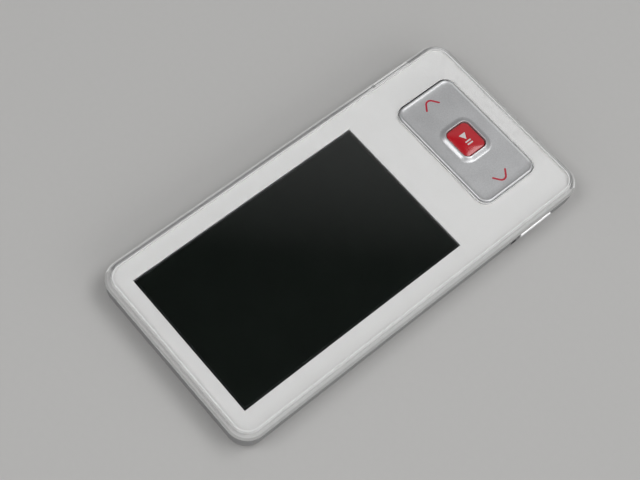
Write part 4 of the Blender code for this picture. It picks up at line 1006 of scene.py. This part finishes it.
def chevrons():
    """Two printed arrow heads on the rocker: an arm, a bend and another arm, and the same turned round."""
    stroke = 0.47
    arm = 2.0
    bend = 1.25
    turn = math.radians(106)
    tip = 14.03
    ink_depth = 0.04
    end_round = 0.45 * stroke
    first = start("chevron_right")
    bpy.ops.mesh.primitive_plane_add(size=1.0)
    bpy.ops.transform.resize(value=(stroke, arm, 1.0), center_override=(0.0, 0.0, 0.0))
    pick_edges(first, lambda a, b: min(a.y, b.y) > arm / 2 - 0.01)
    bpy.ops.mesh.spin(steps=10, angle=-turn, center=(-bend, arm / 2, 0.0), axis=(0.0, 0.0, 1.0))
    ahead = (-math.sin(turn) * arm, math.cos(turn) * arm, 0.0)
    bpy.ops.mesh.extrude_edges_move(TRANSFORM_OT_translate={"value": ahead})
    bpy.ops.mesh.select_all(action="SELECT")
    bpy.ops.mesh.remove_doubles(threshold=0.001)
    bpy.ops.mesh.normals_make_consistent(inside=False)
    pick_corners(first)
    bpy.ops.mesh.bevel(affect="VERTICES", offset=end_round, segments=4)
    bpy.ops.object.mode_set(mode="OBJECT")
    apply_modifier(first, "ink", "SOLIDIFY", thickness=ink_depth, offset=-1.0)
    to_tip = Matrix.Rotation(-turn / 2, 2) @ Vector((-bend, arm / 2))
    first.rotation_euler = (0.0, 0.0, -turn / 2)
    across = tip - bend - stroke / 2 - to_tip.x
    first.location = (across, KEY_MIDDLE - to_tip.y, KEY_DISH + INK_RISE)
    bpy.ops.object.transform_apply(location=True, rotation=True, scale=True)
    active(first)
    bpy.ops.object.duplicate()
    second = bpy.context.object
    second.name = "chevron_left"
    second.rotation_euler = (0.0, 0.0, math.pi)
    second.location = (0.0, 2 * KEY_MIDDLE, 0.0)
    bpy.ops.object.transform_apply(location=True, rotation=True, scale=True)
    for piece in (first, second):
        smooth(piece)
        dress(piece, red_ink, "keypad", "red_gloss")


def chrome_bar(name, side, body, node):
    """A bar with rounded ends that stands out through the back shell's notch, and its flange behind."""
    half_height = (BAR_TOP - BAR_FOOT) / 2
    points = eased(
        (
            (0.0, BAR_FLANGE_BACK),
            (0.0, BAR_FACE),
            (half_height, BAR_FACE),
        ),
        (BAR_FACE_ROUND,),
    )
    points.insert(0, (0.0, BAR_FLANGE_BACK + BAR_ROOT))
    sections = inset_sections((half_height, BAR_HALF_LENGTH, BAR_CORNER), points)
    bar = lofted(name, sections, middle=(0.0, 0.0))
    bar.rotation_euler = (0.0, side * math.pi / 2, 0.0)
    bar.location = (0.0, BAR_MIDDLE, BAR_FOOT + half_height)
    active(bar)
    bpy.ops.object.transform_apply(location=True, rotation=True, scale=True)
    xs = sorted((side * BAR_FLANGE_BACK, side * BAR_FLANGE_FRONT))
    low = (xs[0], BAR_MIDDLE - BAR_HALF_LENGTH, BAR_FLANGE_FOOT)
    high = (xs[1], BAR_MIDDLE + BAR_HALF_LENGTH, BAR_TOP)
    carve(bar, block("flange", low, high), "UNION")
    smooth(bar)
    dress(bar, finishes["chrome"], body, "chrome", node)


def side_screw(name, side, node):
    """A pan head with a cross recess, and its shank into the case."""
    head_middle = (side * (SCREW_FACE - SCREW_HEAD_DEPTH / 2), SCREW_Y, SCREW_Z)
    screw = rod(name, SCREW_HEAD, SCREW_HEAD_DEPTH, head_middle, "X", steps=40)
    bpy.ops.object.mode_set(mode="EDIT")
    pick_faces(screw, lambda middle, normal: normal.x * side > 0.9)
    bpy.ops.mesh.bevel(offset=SCREW_HEAD_ROUND, segments=6)
    pick_faces(screw, lambda middle, normal: normal.x * side < -0.9)
    bpy.ops.mesh.inset(thickness=SCREW_HEAD - SCREW_SHANK)
    shank = -side * (SCREW_FACE - SCREW_HEAD_DEPTH - SCREW_TIP)
    bpy.ops.mesh.extrude_region_move(TRANSFORM_OT_translate={"value": (shank, 0.0, 0.0)})
    bpy.ops.object.mode_set(mode="OBJECT")
    upright = (CROSS_HALF_LENGTH, CROSS_HALF_WIDTH)
    for tall, wide in (upright, upright[::-1]):
        xs = sorted((side * (SCREW_FACE - CROSS_DEPTH), side * (SCREW_FACE + CROSS_PAST)))
        low = (xs[0], SCREW_Y - wide, SCREW_Z - tall)
        high = (xs[1], SCREW_Y + wide, SCREW_Z + tall)
        carve(screw, block("cross", low, high))
    smooth(screw)
    dress(screw, finishes["steel"], "case", "steel", node)


place_camera()
bpy.ops.object.select_all(action="DESELECT")
bpy.ops.mesh.primitive_plane_add(size=FLOOR_SIZE * MM, location=(0.0, 0.0, -FLOOR_GAP * MM))
floor = bpy.context.object
floor.name = "floor"
floor.data.materials.append(floor_paper())
softbox("key_softbox", (0.30, 0.33, 0.90), distance=0.73, width=0.54, length=0.34, power=1.65)
softbox("fill_softbox", (-0.20, -0.53, 0.82), distance=0.76, width=0.34, length=0.34, power=1.15)
light_room()
bpy.context.scene.view_settings.view_transform = "Standard"

for part in frame["record"]["subparts"]:
    mesh = nodes[part["node"]].data
    mesh.materials.clear()
    mesh.materials.append(finishes[part["material_slot"]])

clear_cover()
edge_ring(
    "face_border", border_white(), "white_plastic",
    BORDER_INSET, BORDER_INSET + BORDER_WIDTH, BORDER_FOOT, BORDER_TOP, BORDER_ROUND,
)
edge_ring(
    "bonding_film_with_painted_light", bonding_film_with_painted_light(), "grey_paint",
    BOND_INSET, BORDER_INSET, BOND_FOOT, BOND_TOP, BOND_ROUND,
)
back_shell()
keypad_rocker()
red_button()
play_sign()
chevrons()
chrome_bar("power_bar", 1, "power", "power_button")
chrome_bar("volume_bar", -1, "volume", "volume_rocker")
side_screw("case_screw_right", 1, "side_screw_right")
side_screw("case_screw_left", -1, "side_screw_left")
